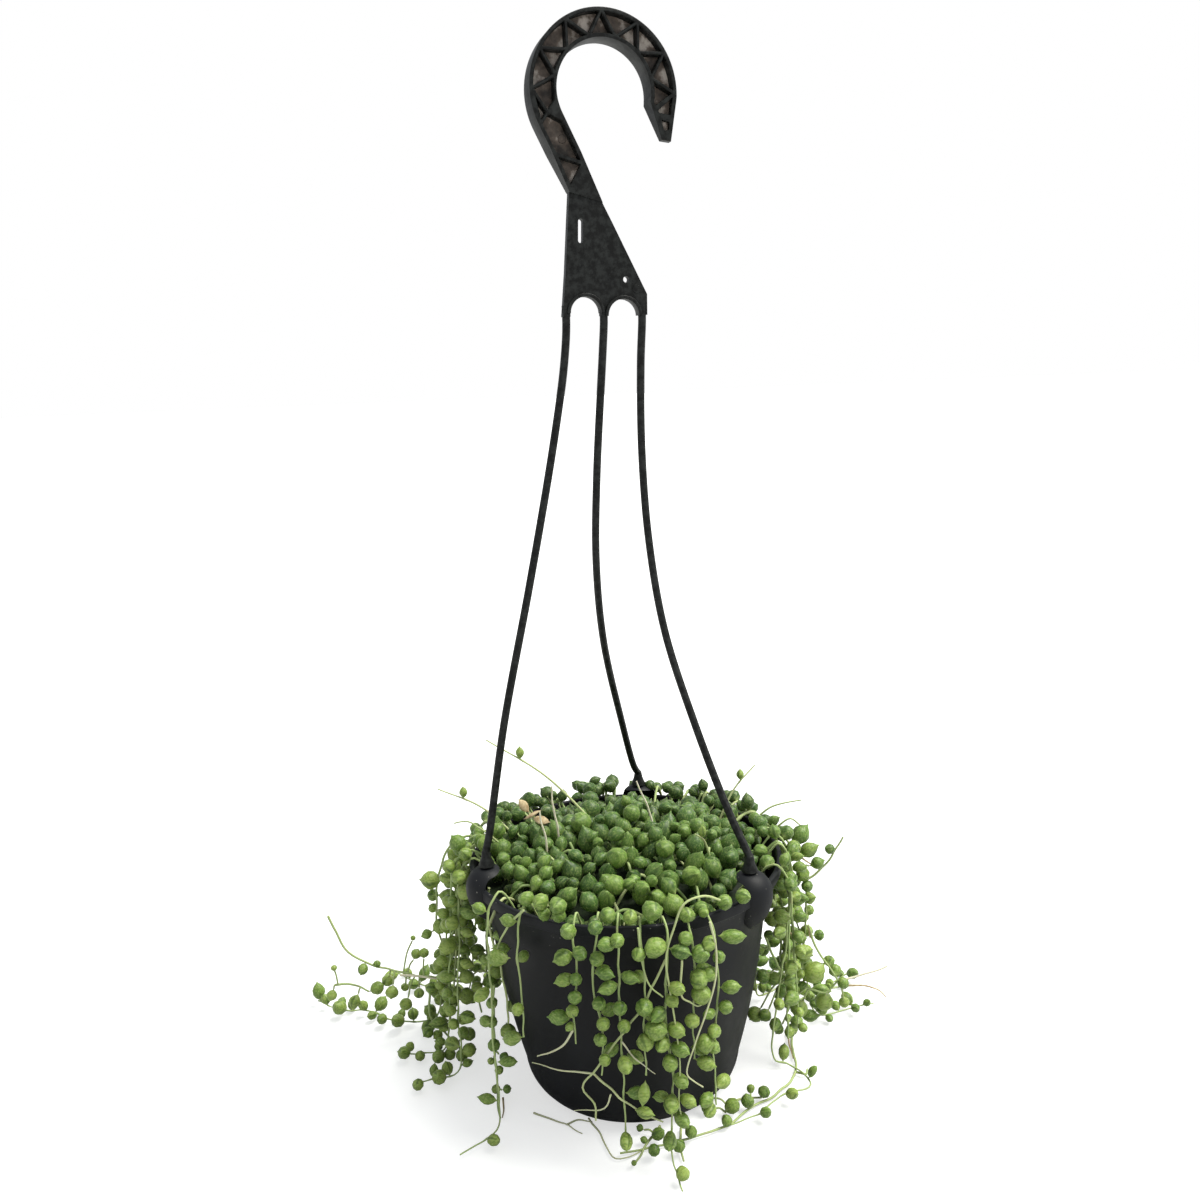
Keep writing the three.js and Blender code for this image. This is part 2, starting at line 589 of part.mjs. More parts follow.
// The pearls of every trailing stem. They come off the stem in a spiral; a pearl that would
// touch something is swung round the stem until it is clear, or else left out.
function placePearls(routes) {
  const draw = seededDraw(4127);
  const stems = routes.map((route) => spacedAlong(route, STEM_BALLS).map(({ point }) => ({
    centre: point, radius: STEM_RADIUS + 0.4 })));
  const placed = [];
  return routes.map((route, index) => {
    const others = stems.filter((_, i) => i !== index).flat();
    const own = [];
    spacedAlong(route, PEARL_SPACING).forEach(({ point, along }, count) => {
      const radius = draw(PEARL_SMALL, PEARL_LARGE);
      const start = draw(-30, 30) + count * GOLDEN_ANGLE;
      if (point.z < SOIL_TOP + 12 && Math.hypot(point.x, point.y) < INNER_RING + 4) return;
      const sideways = new THREE.Vector3(0, 0, 1).cross(along);
      if (sideways.length() < 0.05) sideways.set(-point.y, point.x, 0);
      sideways.normalize();
      const upright = along.clone().cross(sideways);
      for (let swing = 0; swing < 12; swing++) {
        const angle = radians(start + 30 * swing);
        const away = sideways.clone().multiplyScalar(Math.cos(angle))
          .addScaledVector(upright, Math.sin(angle)).addScaledVector(along, 0.35).normalize();
        const centre = point.clone().addScaledVector(away, radius + STALK);
        const tip = centre.clone().addScaledVector(away, 1.1 * radius);
        const neighbours = [...others, ...placed];
        if (!isClear(centre, radius, [...neighbours, ...own])) continue;
        if (!isClear(tip, 0.3 * radius, neighbours)) continue;
        own.push({ centre, radius, root: point });
        return;
      }
    });
    own.forEach((ball) => placed.push(ball));
    return own;
  });
}

function makeString(route, pearls) {
  const steps = stemSteps(route);
  const stem = bar(new SteppedPath(steps), STEM_RADIUS * STEM_CORNER, 3, steps.length - 1);
  return joined([stem, ...pearls.map(({ root, centre, radius }) => pearl(root, centre, radius))]);
}

// ---- mat of pearls over the soil ----
const matHeight = (radius) => mix(MAT.crown, MAT.edge, (radius / MAT.radius) ** 2);

const matStemPlaces = Array.from({ length: MAT_STEM.count }, (_, i) => (
  polar(i * 360 / MAT_STEM.count + MAT_STEM.first, i ? MAT_STEM.ring : 0, 0)));

function makeMat() {
  const draw = seededDraw(911);
  const base = SOIL_TOP + GAP;
  const radii = [0, 0.35, 0.7, 1].map((share) => share * MAT.radius);
  const dome = radii.map((radius) => [radius, matHeight(radius) - MAT.core]).reverse();
  const core = turned([[0, base], [MAT.radius - 3, base], [MAT.radius, base + 4], ...dome], MAT.sides);
  const stems = matStemPlaces.map((place) => (
    turnedAt(place, plug(MAT_STEM.radius, base - HOLE_DEPTH + 1, base + 2), STEM_SIDES)));
  const pearls = Array.from({ length: MAT.pearls }, (_, i) => {
    const distance = MAT.radius * Math.sqrt((i + 0.5) / MAT.pearls);
    const radius = draw(PEARL_SMALL + 0.8, PEARL_LARGE + 0.9);
    const foot = polar(i * GOLDEN_ANGLE, distance - 1, matHeight(distance) - MAT_SINK);
    const slope = polar(i * GOLDEN_ANGLE + draw(-60, 60), draw(0.1, 0.8), 1).normalize();
    return pearl(foot, foot.clone().addScaledVector(slope, radius + draw(2, 4)), radius);
  });
  return joined([core, ...stems, ...pearls, ...RUNNERS.map(makeRunner)]);
}

// A thin bare runner with one young pearl near its tip.
function makeRunner({ root, tip }) {
  const start = new THREE.Vector3(...root, matHeight(Math.hypot(...root)) - MAT_SINK);
  const end = new THREE.Vector3(...tip);
  const middle = start.clone().lerp(end, 0.5).add(new THREE.Vector3(0, 0, RUNNER.lift));
  const curve = new THREE.CatmullRomCurve3([start, middle, end]);
  const joint = curve.getSpacedPoints(RUNNER.steps)[RUNNER.steps - 1];
  const young = pearl(joint, joint.clone().add(new THREE.Vector3(0, 0, RUNNER.stalk)), RUNNER.young);
  return joined([bar(curve, STEM_RADIUS, 3, RUNNER.steps), young]);
}

// ---- soil ----
function makeSoil() {
  const side = wallOutline(POT_WALL + GAP, 1, 2).filter(([, z]) => z < SOIL_TOP - 1);
  const last = side[side.length - 1];
  const rise = (SOIL_TOP - last[1]) / (SHOULDER_TOP.height - WALL_TOP.height);
  const edge = last[0] + rise * (SHOULDER_TOP.radius - WALL_TOP.radius) * 0.9;
  const body = turned([[0, POT_WALL + GAP], ...side, [edge, SOIL_TOP], [0, SOIL_TOP]], POT_FACETS);
  const hole = (place, stem) => (
    turnedAt(place, plug(stem + HOLE_ROOM, SOIL_TOP - HOLE_DEPTH, SOIL_TOP + 2), STEM_SIDES));
  const holes = [
    ...STRINGS.map(({ at }) => hole(polar(at, ROOT_RING, 0), STEM_RADIUS * STEM_CORNER)),
    ...matStemPlaces.map((place) => hole(place, MAT_STEM.radius))];
  return body.subtract(joined(holes));
}

// ---- assembly ----
const routeDraw = seededDraw(77);
const routes = STRINGS.map((row) => stringRoute(row, routeDraw));
const pearlsOf = placePearls(routes);

const plant = new THREE.Group();
plant.add(piece('pot', makePot(), 0x1c1d20, 0.62));
plant.add(piece('hanger', makeHanger(), 0x161716, 0.45));
plant.add(piece('soil', makeSoil(), 0x2a2019, 0.95));
plant.add(piece('pearl_mat', makeMat(), 0x4f8434, 0.5));
routes.forEach((route, i) => {
  const name = `string_${String(i + 1).padStart(2, '0')}`;
  plant.add(piece(name, makeString(route, pearlsOf[i]), i % 2 ? 0x5f9a3c : 0x6aa545, 0.5));
});

export default plant;
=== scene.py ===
# A string of pearls growing in a black moulded hanging pot: its looks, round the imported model.
# Sizes are millimetres; a mesh is made in metres. Azimuths are degrees clockwise from the back
# (+Y), seen from above: +X is 90 and the front is 180.

import math
from functools import partial

import bmesh
import bpy
import numpy as np
from mathutils import Matrix, Vector, noise


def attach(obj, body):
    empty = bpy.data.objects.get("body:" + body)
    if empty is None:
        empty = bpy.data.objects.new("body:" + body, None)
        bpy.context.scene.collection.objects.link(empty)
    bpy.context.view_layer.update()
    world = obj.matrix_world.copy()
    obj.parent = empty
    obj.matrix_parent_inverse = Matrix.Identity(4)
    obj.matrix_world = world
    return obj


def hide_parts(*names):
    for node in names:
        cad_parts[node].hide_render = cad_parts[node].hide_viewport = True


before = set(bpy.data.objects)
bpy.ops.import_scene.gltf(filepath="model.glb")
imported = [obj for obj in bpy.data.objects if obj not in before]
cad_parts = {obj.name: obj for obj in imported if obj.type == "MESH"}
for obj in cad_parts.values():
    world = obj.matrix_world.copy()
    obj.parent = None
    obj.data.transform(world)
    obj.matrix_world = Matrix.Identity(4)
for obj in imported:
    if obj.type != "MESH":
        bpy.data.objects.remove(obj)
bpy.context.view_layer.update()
NOISE_SEED = 11
noise.seed_set(NOISE_SEED)       # unseeded, noise_vector starts from the clock
MM = 0.001
GAP = 0.3                        # clearance between the pot, the soil, the plant and the floor

# ---- pot ----
POT_HEIGHT = 124
POT_WALL = 1.8
FOOT_RADIUS = 42
CORNER = (15.2, 16)              # width and height of the rounding from the base into the wall
WALL_TOP = (71.6, 98)
WALL_BULGE = 1.9
SHOULDER_MIDDLE = (74.9, 108)
SHOULDER_TOP = (78.8, 118)
RIM_RADIUS = 80.3
RIM_FOOT = 118.7
RIM_LIP = 2.4
POT_SIDES = 180
DRAIN = {"count": 6, "radius": 4, "ring": 32}
LUG_AZIMUTHS = (8, 128, 248)
LUG_RING = 74.2
LUG_PROFILE = [(0, 132), (5.5, 131), (10, 126), (10.8, 118.5), (7.4, 109), (0, 102)]
LUG_MIDDLE = 118                 # height that the lug's hollow shrinks towards
LUG_WALL = 1.7
LUG_SIDES = 56
ARCH = [(78.6, 126), (76.5, 128.6), (70.5, 129.8), (67.5, 131)]   # the hoods' mouth, rim to crown
LUG_CORE = {"low": 108, "high": 118, "radius": 11.8}   # leaves keep out of this upright capsule
INNER_RING = 70                  # the crown of the plant and its stems' roots are inside this

# ---- hanger ----
HOOK = {"x": 2.3, "z": 491.8, "inner": 22.3, "outer": 34.7, "thickness": 11, "web": 1.8}
HOOK_START, SHANK_START = -10, 206
HOOK_TIP = [(30.4, 472.2), (35, 471.6)]
TIP_TAPER = {"top": 492, "foot": 470, "half": 1.3, "from": 20, "to": 40}
SHANK_TAPER = {"top": 468, "foot": 443.5, "half": 1.8, "from": -34, "to": 8}
TIP_NODE = (26.4, 485.2)         # where the tip's first rib meets the inner flange
TIP_POCKETS = [
    [(35.9, 491.8), (35, 481.8), (28.5, 482.8), (27.2, 484.4)],
    [(28.9, 481.6), (34.8, 480.4), (34.4, 475.6), (30.9, 475.6)],
]
RIB_PITCH = 30
RIB_HALF = 0.65
FLANGE = (0.09, 0.91)            # where the ribs' nodes sit across the hook's band
SHANK_CROSSING = (200, 0.5)
SHANK_POCKETS = [
    [(180, 0.91), SHANK_CROSSING, (192, 0.09), (166, 0.09)],
    [(180, 0.91), (206, 0.91), SHANK_CROSSING],
    [SHANK_CROSSING, (206, 0.91), (234, 0.91), (252, 0.09), (212, 0.09)],
    [(234, 0.91), (266, 0.91), (252, 0.09)],
]
SHANK_ENDS = (268, 290)
HANGER_YAW = 17
PLATE_THICKNESS = 3.5
PLATE_FOOT = 394
PLATE_SIDES = (-20.8, 20.7)
PLATE_TOP = [(20.9, 403.5), (4.6, 436.2), (-5, 455), (-15.2, 450), (-18.6, 413.5)]
ARCHES = [(-9.7, 395.4, 7.5), (8.8, 393.9, 7.6)]     # x, z and radius, as for the hole and the marks
SLOT = {"low": (-10.8, 427.9), "high": (-10.4, 436.3), "half": 1.2}
PLATE_HOLE = (10.7, 410.3, 1.45)
EJECTOR_MARKS = [(32.2, 478.6, 1.6), (-17.4, 471.7, 1.9), (15.7, 405.9, 2)]
PLATE_HEAD = 440                 # above this a mark lies on the hook's web, and below it on the plate
BEAD = {"width": 1.6, "proud": 1.2}   # the rim that edges each arch of the plate
STRAND_RADIUS = 1.9
# Each strand: where along the plate it starts, the azimuth of its lug, and its bow, as shares of
# the way out to the lug with a height and a step to the side.
STRANDS = [
    (-18.9, 248, [(0.01, 384, 0), (0.05, 368, 0), (0.11, 351, 0), (0.2, 328, 0), (0.31, 302, 0),
                  (0.47, 266, 0), (0.76, 203, 0), (0.96, 148, 0)]),
    (-0.5, 8, [(0, 378, -1.1), (0.03, 319, -6.6), (0.12, 277, -9.6), (0.34, 232, -10),
               (0.69, 179, -5.5), (0.93, 145, -1.5)]),
    (18.6, 128, [(-0.03, 372, 0), (-0.05, 330, 0), (0, 285, 0), (0.15, 241, 0), (0.46, 197, 0),
                 (0.78, 160, 0)]),
]
FOOT_TOP = 141
FOOT_PROFILE = [(0, FOOT_TOP), (1.9, FOOT_TOP - 0.6), (2.6, 136.5), (4.2, 132.5), (2, 132.4),
                (2, 129.2), (3.4, 129), (0, 124)]

# ---- soil and plant ----
SOIL_TOP = 104
SOIL_CRUMBS = 420
HOLE_DEPTH = 5
MAT = {"radius": 57, "edge": 118.5, "crown": 130, "leaves": 70}
MAT_SINK = 4                     # how deep leaves and runners are rooted in its top
MAT_FRINGE = 7                   # how far its outermost packed leaves stand out past its edge
# The leaves that fill up the crown: how many are tried, out to what ring, where its top goes
# level, the least radius and what is added to it, how near two of them come in their radii, and
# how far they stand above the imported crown's height, with how uneven that is.
CROWD = {"tries": 2700, "ring": 76, "flat": 74, "small": 2.9, "larger": 3.6, "pressed": 0.88,
         "height": 9.5, "uneven": 10}
CROWN_REACHES = [(85, 67), (150, 69), (203, 77), (226, 70), (290, 68), (360, 67)]   # up to an azimuth
LUG_SIDE = {"within": 12, "reach": 65}   # the crown's reach this many degrees beside a lug
CROWN_STEMS = 46
FULL_DROP = 118                  # a stem that drops this far reaches the floor
RUNNERS = [((-8, 14), (-72, 32, 177)), ((-50, 22), (-101, 38, 148)),
           ((48, 30), (74, 42, 153)), ((44, -18), (34, -34, 147))]
STEM_RADIUS = 0.9
STEM_STEP = 14
FINE_STEPS = 400
RIM_PLACES = (0, 1, 2, 2.5, 3, 3.5)
HANG_HEIGHT = 121                # a stem starts to hang here, past the rim
FLOOR_TURN = {"from": 6, "to": 3.4, "out": 8}   # a long stem's turn onto the floor
RUN_STEP = 18                    # length of one bend of its run along the floor
ROOT_RING = 67.5                 # the trailing stems come up here
HANG_RING = 86                   # and hang down here, clear of the rim
STEM_BALLS = 4                   # leaves are kept clear of other stems as balls at this spacing
LEAF_SPACING = 20
STALK = 1.6
LEAF_SMALL, LEAF_LARGE = 4, 5.5
GOLDEN_ANGLE = 137.5
# Azimuth, drop below the rim, lean outwards, run along the floor and its turn from straight out.
STRINGS = [
    (154, 94, -1, 0, 0), (161.5, 66, 0, 0, 0), (169, 118, -4, 12, 0), (177, 70, 0, 0, 0),
    (184, 104, -2, 0, 0), (190.5, 70, 0, 0, 0), (198, 56, 0, 0, 0), (217, 60, 0, 0, 0),
    (231, 118, 2, 14, 10), (265, 118, 8, 12, -12), (277, 118, 18, 20, -6), (290, 118, 34, 74, 2),
    (303, 118, 30, 52, 4), (317, 118, 22, 30, 4), (331, 118, 10, 16, 4), (346, 96, 4, 0, 0),
    (23, 70, 0, 0, 0), (36, 98, 4, 0, 0), (49, 118, 14, 26, -4), (61, 118, 24, 36, -4),
    (73, 118, 24, 30, 0), (85, 112, 6, 0, 0), (97, 118, -10, 75, 138), (111, 84, 4, 0, 0),
]

# ---- camera, as the photograph was taken ----
CAMERA_PLACE = (-7.66, -533.6, 367.2)
CAMERA_PITCH = 11.58             # degrees that the camera looks down
CAMERA_ROLL = 2.34
CAMERA_LENS = 33.0               # mm, on a sensor 36 mm wide
SENSOR = 36
PHOTO_SIZE = 1200                # the photograph's width and height in pixels
FLOOR_REACH = 20000              # half the width of the studio's floor


# ---- small helpers ----
def mix(a, b, share):
    return a + (b - a) * share


def polar(azimuth, radius, z=0.0):
    angle = math.radians(azimuth)
    return np.array([radius * math.sin(angle), radius * math.cos(angle), z])


def unit(vector):
    return vector / np.linalg.norm(vector)


def ramp(value, low, high):
    """0 up to low, 1 from high on, and straight between."""
    return min(1, max(0, (value - low) / (high - low)))


def seeded_draw(seed):
    """Repeatable draws between two limits."""
    state = seed

    def draw(low, high):
        nonlocal state
        state = state * 16807 % 2147483647
        return low + (high - low) * state / 2147483647
    return draw


def linear(colour):
    """An sRGB hex colour as linear red, green, blue and alpha."""
    channels = [int(colour[i:i + 2], 16) / 255 for i in (1, 3, 5)]
    return tuple(c / 12.92 if c <= 0.04045 else ((c + 0.055) / 1.055) ** 2.4 for c in channels) + (1.0,)


def add_node(tree, kind, **settings):
    """Adds a node. Each setting is one of its properties or, with _ for a space or before its
    number, one of the inputs in use. A node or an output given to an input is linked to it, and a
    colour is hex."""
    node = tree.nodes.new(kind)
    for key, value in settings.items():
        if key in node.bl_rna.properties:
            setattr(node, key, value)
            continue
        if key[1:].isdigit():
            socket = node.inputs[int(key[1:])]
        else:
            name = key.replace("_", " ")
            socket = next(each for each in node.inputs if each.name == name and each.enabled)
        if isinstance(value, bpy.types.Node):
            value = next(each for each in value.outputs if each.enabled)
        if isinstance(value, bpy.types.NodeSocket):
            tree.links.new(value, socket)
        elif isinstance(value, str) and value.startswith("#"):
            socket.default_value = linear(value)
        else:
            socket.default_value = value
    return node


def camera_axes():
    """The camera's forward, right and down."""
    pitch, roll = math.radians(CAMERA_PITCH), math.radians(CAMERA_ROLL)
    forward = np.array([0, math.cos(pitch), -math.sin(pitch)])
    right, down = np.array([1.0, 0, 0]), -np.array([0, math.sin(pitch), math.cos(pitch)])
    return (forward, math.cos(roll) * right + math.sin(roll) * down,
            math.cos(roll) * down - math.sin(roll) * right)


CAMERA_AXES = camera_axes()
FOCAL = CAMERA_LENS / SENSOR * PHOTO_SIZE    # in pixels


def seen_at(spot, depth, size=2.0):
    """The point behind a pixel of the photograph at a depth in y, or where a ball of that size in
    pixels rests on the floor if that comes first; also that size in millimetres."""
    forward, right, down = CAMERA_AXES
    across, below = (c - PHOTO_SIZE / 2 for c in spot)
    ray = forward + (right * across + down * below) / FOCAL
    reach = (depth - CAMERA_PLACE[1]) / ray[1]
    radius = size * reach / FOCAL
    if CAMERA_PLACE[2] + ray[2] * reach < radius + GAP:
        reach = (radius + GAP - CAMERA_PLACE[2]) / ray[2]
    return np.array(CAMERA_PLACE) + ray * reach, size * reach / FOCAL


def seen_on_ring(spot, ring):
    """The point behind a pixel on the near side of an upright cylinder about the pot's axis."""
    depth = -ring
    for _ in range(5):
        point = seen_at(spot, depth)[0]
        depth = -math.sqrt(max(0, ring ** 2 - point[0] ** 2))
    return point


# ---- paths ----
class Path:
    """A smooth path through points: a centripetal Catmull-Rom curve."""

    def __init__(self, points):
        self.points = [np.array(point, float) for point in points]
        shares = np.linspace(0, 1, 201)
        places = np.array([self.at(share) for share in shares])
        steps = np.linalg.norm(np.diff(places, axis=0), axis=1)
        self.shares = shares
        self.lengths = np.concatenate([[0], np.cumsum(steps)])
        self.length = self.lengths[-1]

    def at(self, share):
        points, last = self.points, len(self.points) - 1
        place = share * last
        i = min(int(place), last - 1)
        w = place - i
        p1, p2 = points[i], points[i + 1]
        p0 = points[i - 1] if i > 0 else 2 * p1 - p2
        p3 = points[i + 2] if i + 2 <= last else 2 * p2 - p1
        d0, d1, d2 = (np.linalg.norm(b - a) ** 0.5 for a, b in ((p0, p1), (p1, p2), (p2, p3)))
        d1 = d1 if d1 >= 1e-4 else 1.0
        d0 = d0 if d0 >= 1e-4 else d1
        d2 = d2 if d2 >= 1e-4 else d1
        t1 = ((p1 - p0) / d0 - (p2 - p0) / (d0 + d1) + (p2 - p1) / d1) * d1
        t2 = ((p2 - p1) / d1 - (p3 - p1) / (d1 + d2) + (p3 - p2) / d2) * d1
        return (p1 + t1 * w + (-3 * p1 + 3 * p2 - 2 * t1 - t2) * w ** 2
                + (2 * p1 - 2 * p2 + t1 + t2) * w ** 3)

    def spaced(self, steps):
        wanted = np.linspace(0, self.length, steps + 1)
        return np.array([self.at(share) for share in np.interp(wanted, self.lengths, self.shares)])


def string_path(row, draw, ring=HANG_RING, root_ring=ROOT_RING, lift=0.0):
    """A trailing stem's way: out of the soil, over the rim, down outside the pot and, where it is
    long enough, on along the floor in gentle bends."""
    at, drop, lean, run, turn = row
    over = POT_HEIGHT + draw(3, 6) + lift
    sway = draw(-2.5, 2.5)
    side = polar(at + 90, 1)

    def place(radius, z, aside=0.0):
        return polar(at, radius) + side * aside + np.array([0, 0, z])
    low = max(POT_HEIGHT - drop, FLOOR_TURN["from"])
    middle = mix(POT_HEIGHT, low, 0.5)
    points = [
        place(root_ring, SOIL_TOP - HOLE_DEPTH + 0.5), place(root_ring, SOIL_TOP + 3),
        place(root_ring + 4.5, HANG_HEIGHT), place(RIM_RADIUS - 1.8 + 0.4 * (ring - HANG_RING), over),
        place(ring - 1.2, HANG_HEIGHT + 0.7 * lift),
        place(ring + 0.35 * lean, middle + 12, sway), place(ring + 0.7 * lean, middle - 14, -0.5 * sway),
        place(ring + lean, low)]
    if run > 0:
        wander = draw(-12, 12)
        steps = max(1, int(run / RUN_STEP + 0.5))
        point = place(ring + lean + FLOOR_TURN["out"], FLOOR_TURN["to"])
        points.append(point)
        for i in range(1, steps + 1):
            heading = at + turn * min(1, i / 2) + (wander if i % 2 else -wander)
            point = point + polar(heading, run / steps)
            points.append(point)
    return Path(points)


def coarse_steps(path):
    """The part's own straight steps along a trailing stem."""
    spans = len(path.points) - 1
    over_rim = [path.at(place / spans) for place in RIM_PLACES]
    spaced = path.spaced(FINE_STEPS)
    hanging = (spaced[:, 2] < HANG_HEIGHT) & (np.hypot(spaced[:, 0], spaced[:, 1]) > RIM_RADIUS)
    start = int(np.argmax(hanging))
    rest = (FINE_STEPS - start) * path.length / FINE_STEPS
    count = max(1, int(rest / STEM_STEP + 0.5))
    return np.array(over_rim + [
        spaced[int(mix(start, FINE_STEPS, (i + 1) / count) + 0.5)] for i in range(count)])


def spaced_along(points, spacing, first=1.0):
    """Places at even spacing along straight steps, each with the direction of travel."""
    places = []
    travelled = 0.0
    for before, after in zip(points[:-1], points[1:]):
        length = np.linalg.norm(after - before)
        along = (after - before) / length
        while (len(places) + first) * spacing <= travelled + length:
            reach = (len(places) + first) * spacing - travelled
            places.append((before + along * reach, along))
        travelled += length
    return places


# ---- room for the leaves ----
def wall_outline(inset, corner_steps=3, wall_steps=3):
    """The wall's outline from the base's edge to the shoulder's top, moved inwards by inset."""
    points = []
    for i in range(corner_steps + 1):
        angle = math.radians(90 * i / corner_steps)
        points.append((FOOT_RADIUS + (CORNER[0] - inset) * math.sin(angle),
                       CORNER[1] - (CORNER[1] - inset) * math.cos(angle)))
    for i in range(1, wall_steps + 1):
        share = i / wall_steps
        straight = mix(FOOT_RADIUS + CORNER[0], WALL_TOP[0], share)
        points.append((straight + 4 * WALL_BULGE * share * (1 - share) - inset,
                       mix(CORNER[1], WALL_TOP[1], share)))
    points.append((SHOULDER_MIDDLE[0] - inset, SHOULDER_MIDDLE[1]))
    points.append((SHOULDER_TOP[0] - inset, SHOULDER_TOP[1]))
    return points


RIM_OUTLINE = [(RIM_RADIUS, RIM_FOOT), (RIM_RADIUS, POT_HEIGHT), (RIM_RADIUS - RIM_LIP, POT_HEIGHT)]
WALL_LINE = np.array(wall_outline(0) + RIM_OUTLINE + wall_outline(POT_WALL)[::-1])


def distance_to_wall(ring, z):
    starts, steps = WALL_LINE[:-1], np.diff(WALL_LINE, axis=0)
    reach = ((np.array([ring, z]) - starts) * steps).sum(1) / (steps ** 2).sum(1)
    nearest = starts + steps * np.clip(reach, 0, 1)[:, None]
    return np.linalg.norm(nearest - [ring, z], axis=1).min()


class Room:
    """The balls that stems and leaves take up, each with the number of its owner."""

    def __init__(self, most=40000):
        self.centres = np.zeros((most, 3))
        self.radii = np.zeros(most)
        self.owners = np.full(most, -1)
        self.count = 0

    def add(self, centre, radius, owner):
        self.centres[self.count] = centre
        self.radii[self.count] = radius
        self.owners[self.count] = owner
        self.count += 1

    def gap(self, centre, radius, skip=()):
        """The least clearance of a ball from the others, apart from those of the skipped owners."""
        n = self.count
        distance = np.linalg.norm(self.centres[:n] - centre, axis=1) - self.radii[:n] - radius
        for owner in skip:
            distance[self.owners[:n] == owner] = math.inf
        return distance.min() if n else math.inf


def clear_of_pot(centre, radius):
    """Whether a ball stays off the floor, the pot's wall and lugs, the soil and the crown."""
    ring = math.hypot(centre[0], centre[1])
    keep = radius + GAP + 0.1
    if centre[2] < radius + GAP or distance_to_wall(ring, centre[2]) < keep:
        return False
    in_mat = ring < MAT["radius"] + MAT_FRINGE + radius or centre[2] < SOIL_TOP + keep
    if ring < INNER_RING + 6 and in_mat:
        return False
    for azimuth in LUG_AZIMUTHS:
        axis = polar(azimuth, LUG_RING, min(max(centre[2], LUG_CORE["low"]), LUG_CORE["high"]))
        if np.linalg.norm(axis - centre) < LUG_CORE["radius"] + radius:
            return False
    return True


def leaf_frame(point, along):
    """Two directions square to a stem's: level, and upwards or outwards."""
    sideways = np.cross([0, 0, 1], along)
    if np.linalg.norm(sideways) < 0.05:
        sideways = np.array([-point[1], point[0], 0])
    sideways = unit(sideways)
    return sideways, np.cross(along, sideways)


# ---- materials ----
# Places are in millimetres, so a pattern's Scale is one over the size of its marks.
def new_material(name):
    """An empty material, and what adds nodes to it."""
    material = bpy.data.materials.new(name)
    material.use_nodes = True
    material.node_tree.nodes.clear()
    return material, partial(add_node, material.node_tree)


def object_place(add):
    """Object coordinates in millimetres."""
    place = add("ShaderNodeTexCoord").outputs["Object"]
    return add("ShaderNodeMapping", Vector=place, Scale=(1 / MM, 1 / MM, 1 / MM))


def pot_plastic():
    """Injection-moulded polypropylene, charcoal, matte. Handling and watering leave it with a bloom of dust
    in patches, pale specks of dried soil under the rim and a faint sparkle from the mould; its colour also
    grows lighter towards the rim top."""
    material, add = new_material("pot_plastic_moulded_polypropylene")
    place = object_place(add)
    height = add("ShaderNodeSeparateXYZ", Vector=place).outputs["Z"]
    smears = add("ShaderNodeTexNoise", Vector=place, Scale=1 / 22, Detail=5.0, Roughness=0.62)
    dust = add("ShaderNodeMapRange", Value=smears, From_Min=0.46, From_Max=0.72, To_Max=0.55)
    # Besides the dust patches, the colour grows lighter with height towards the rim top.
    band = add("ShaderNodeMapRange", Value=height, From_Min=108, From_Max=123, To_Max=0.5)
    dust_and_rim_band = add("ShaderNodeMath", operation="MAXIMUM", _0=dust, _1=band)
    colour = add("ShaderNodeMix", data_type="RGBA", Factor=dust_and_rim_band, A="#0a0b0d", B="#1f2125")
    grit = add("ShaderNodeTexVoronoi", Vector=place, Scale=1 / 2.6).outputs["Distance"]
    near_rim = add("ShaderNodeMapRange", Value=height, From_Min=96, From_Max=122, To_Min=0.03, To_Max=0.13)
    patches = add("ShaderNodeTexNoise", Vector=place, Scale=1 / 9, Detail=2.0)
    patches = add("ShaderNodeMapRange", Value=patches, From_Min=0.4, From_Max=0.65, To_Max=1.4)
    reach = add("ShaderNodeMath", operation="MULTIPLY", _0=near_rim, _1=patches)
    speck = add("ShaderNodeMath", operation="LESS_THAN", _0=grit, _1=reach)
    colour = add("ShaderNodeMix", data_type="RGBA", Factor=speck, A=colour, B="#65635e")
    grain = add("ShaderNodeTexNoise", Vector=place, Scale=1 / 0.9, Detail=2.0)
    bump = add("ShaderNodeBump", Height=grain, Strength=0.25, Distance=0.12 * MM)
    roughness = add("ShaderNodeMapRange", Value=smears, From_Min=0.3, From_Max=0.7, To_Min=0.44, To_Max=0.62)
    shader = add("ShaderNodeBsdfPrincipled", Base_Color=colour, Normal=bump, Roughness=roughness,
                 IOR=1.49, Specular_IOR_Level=0.22)
    add("ShaderNodeOutputMaterial", Surface=shader)
    return material


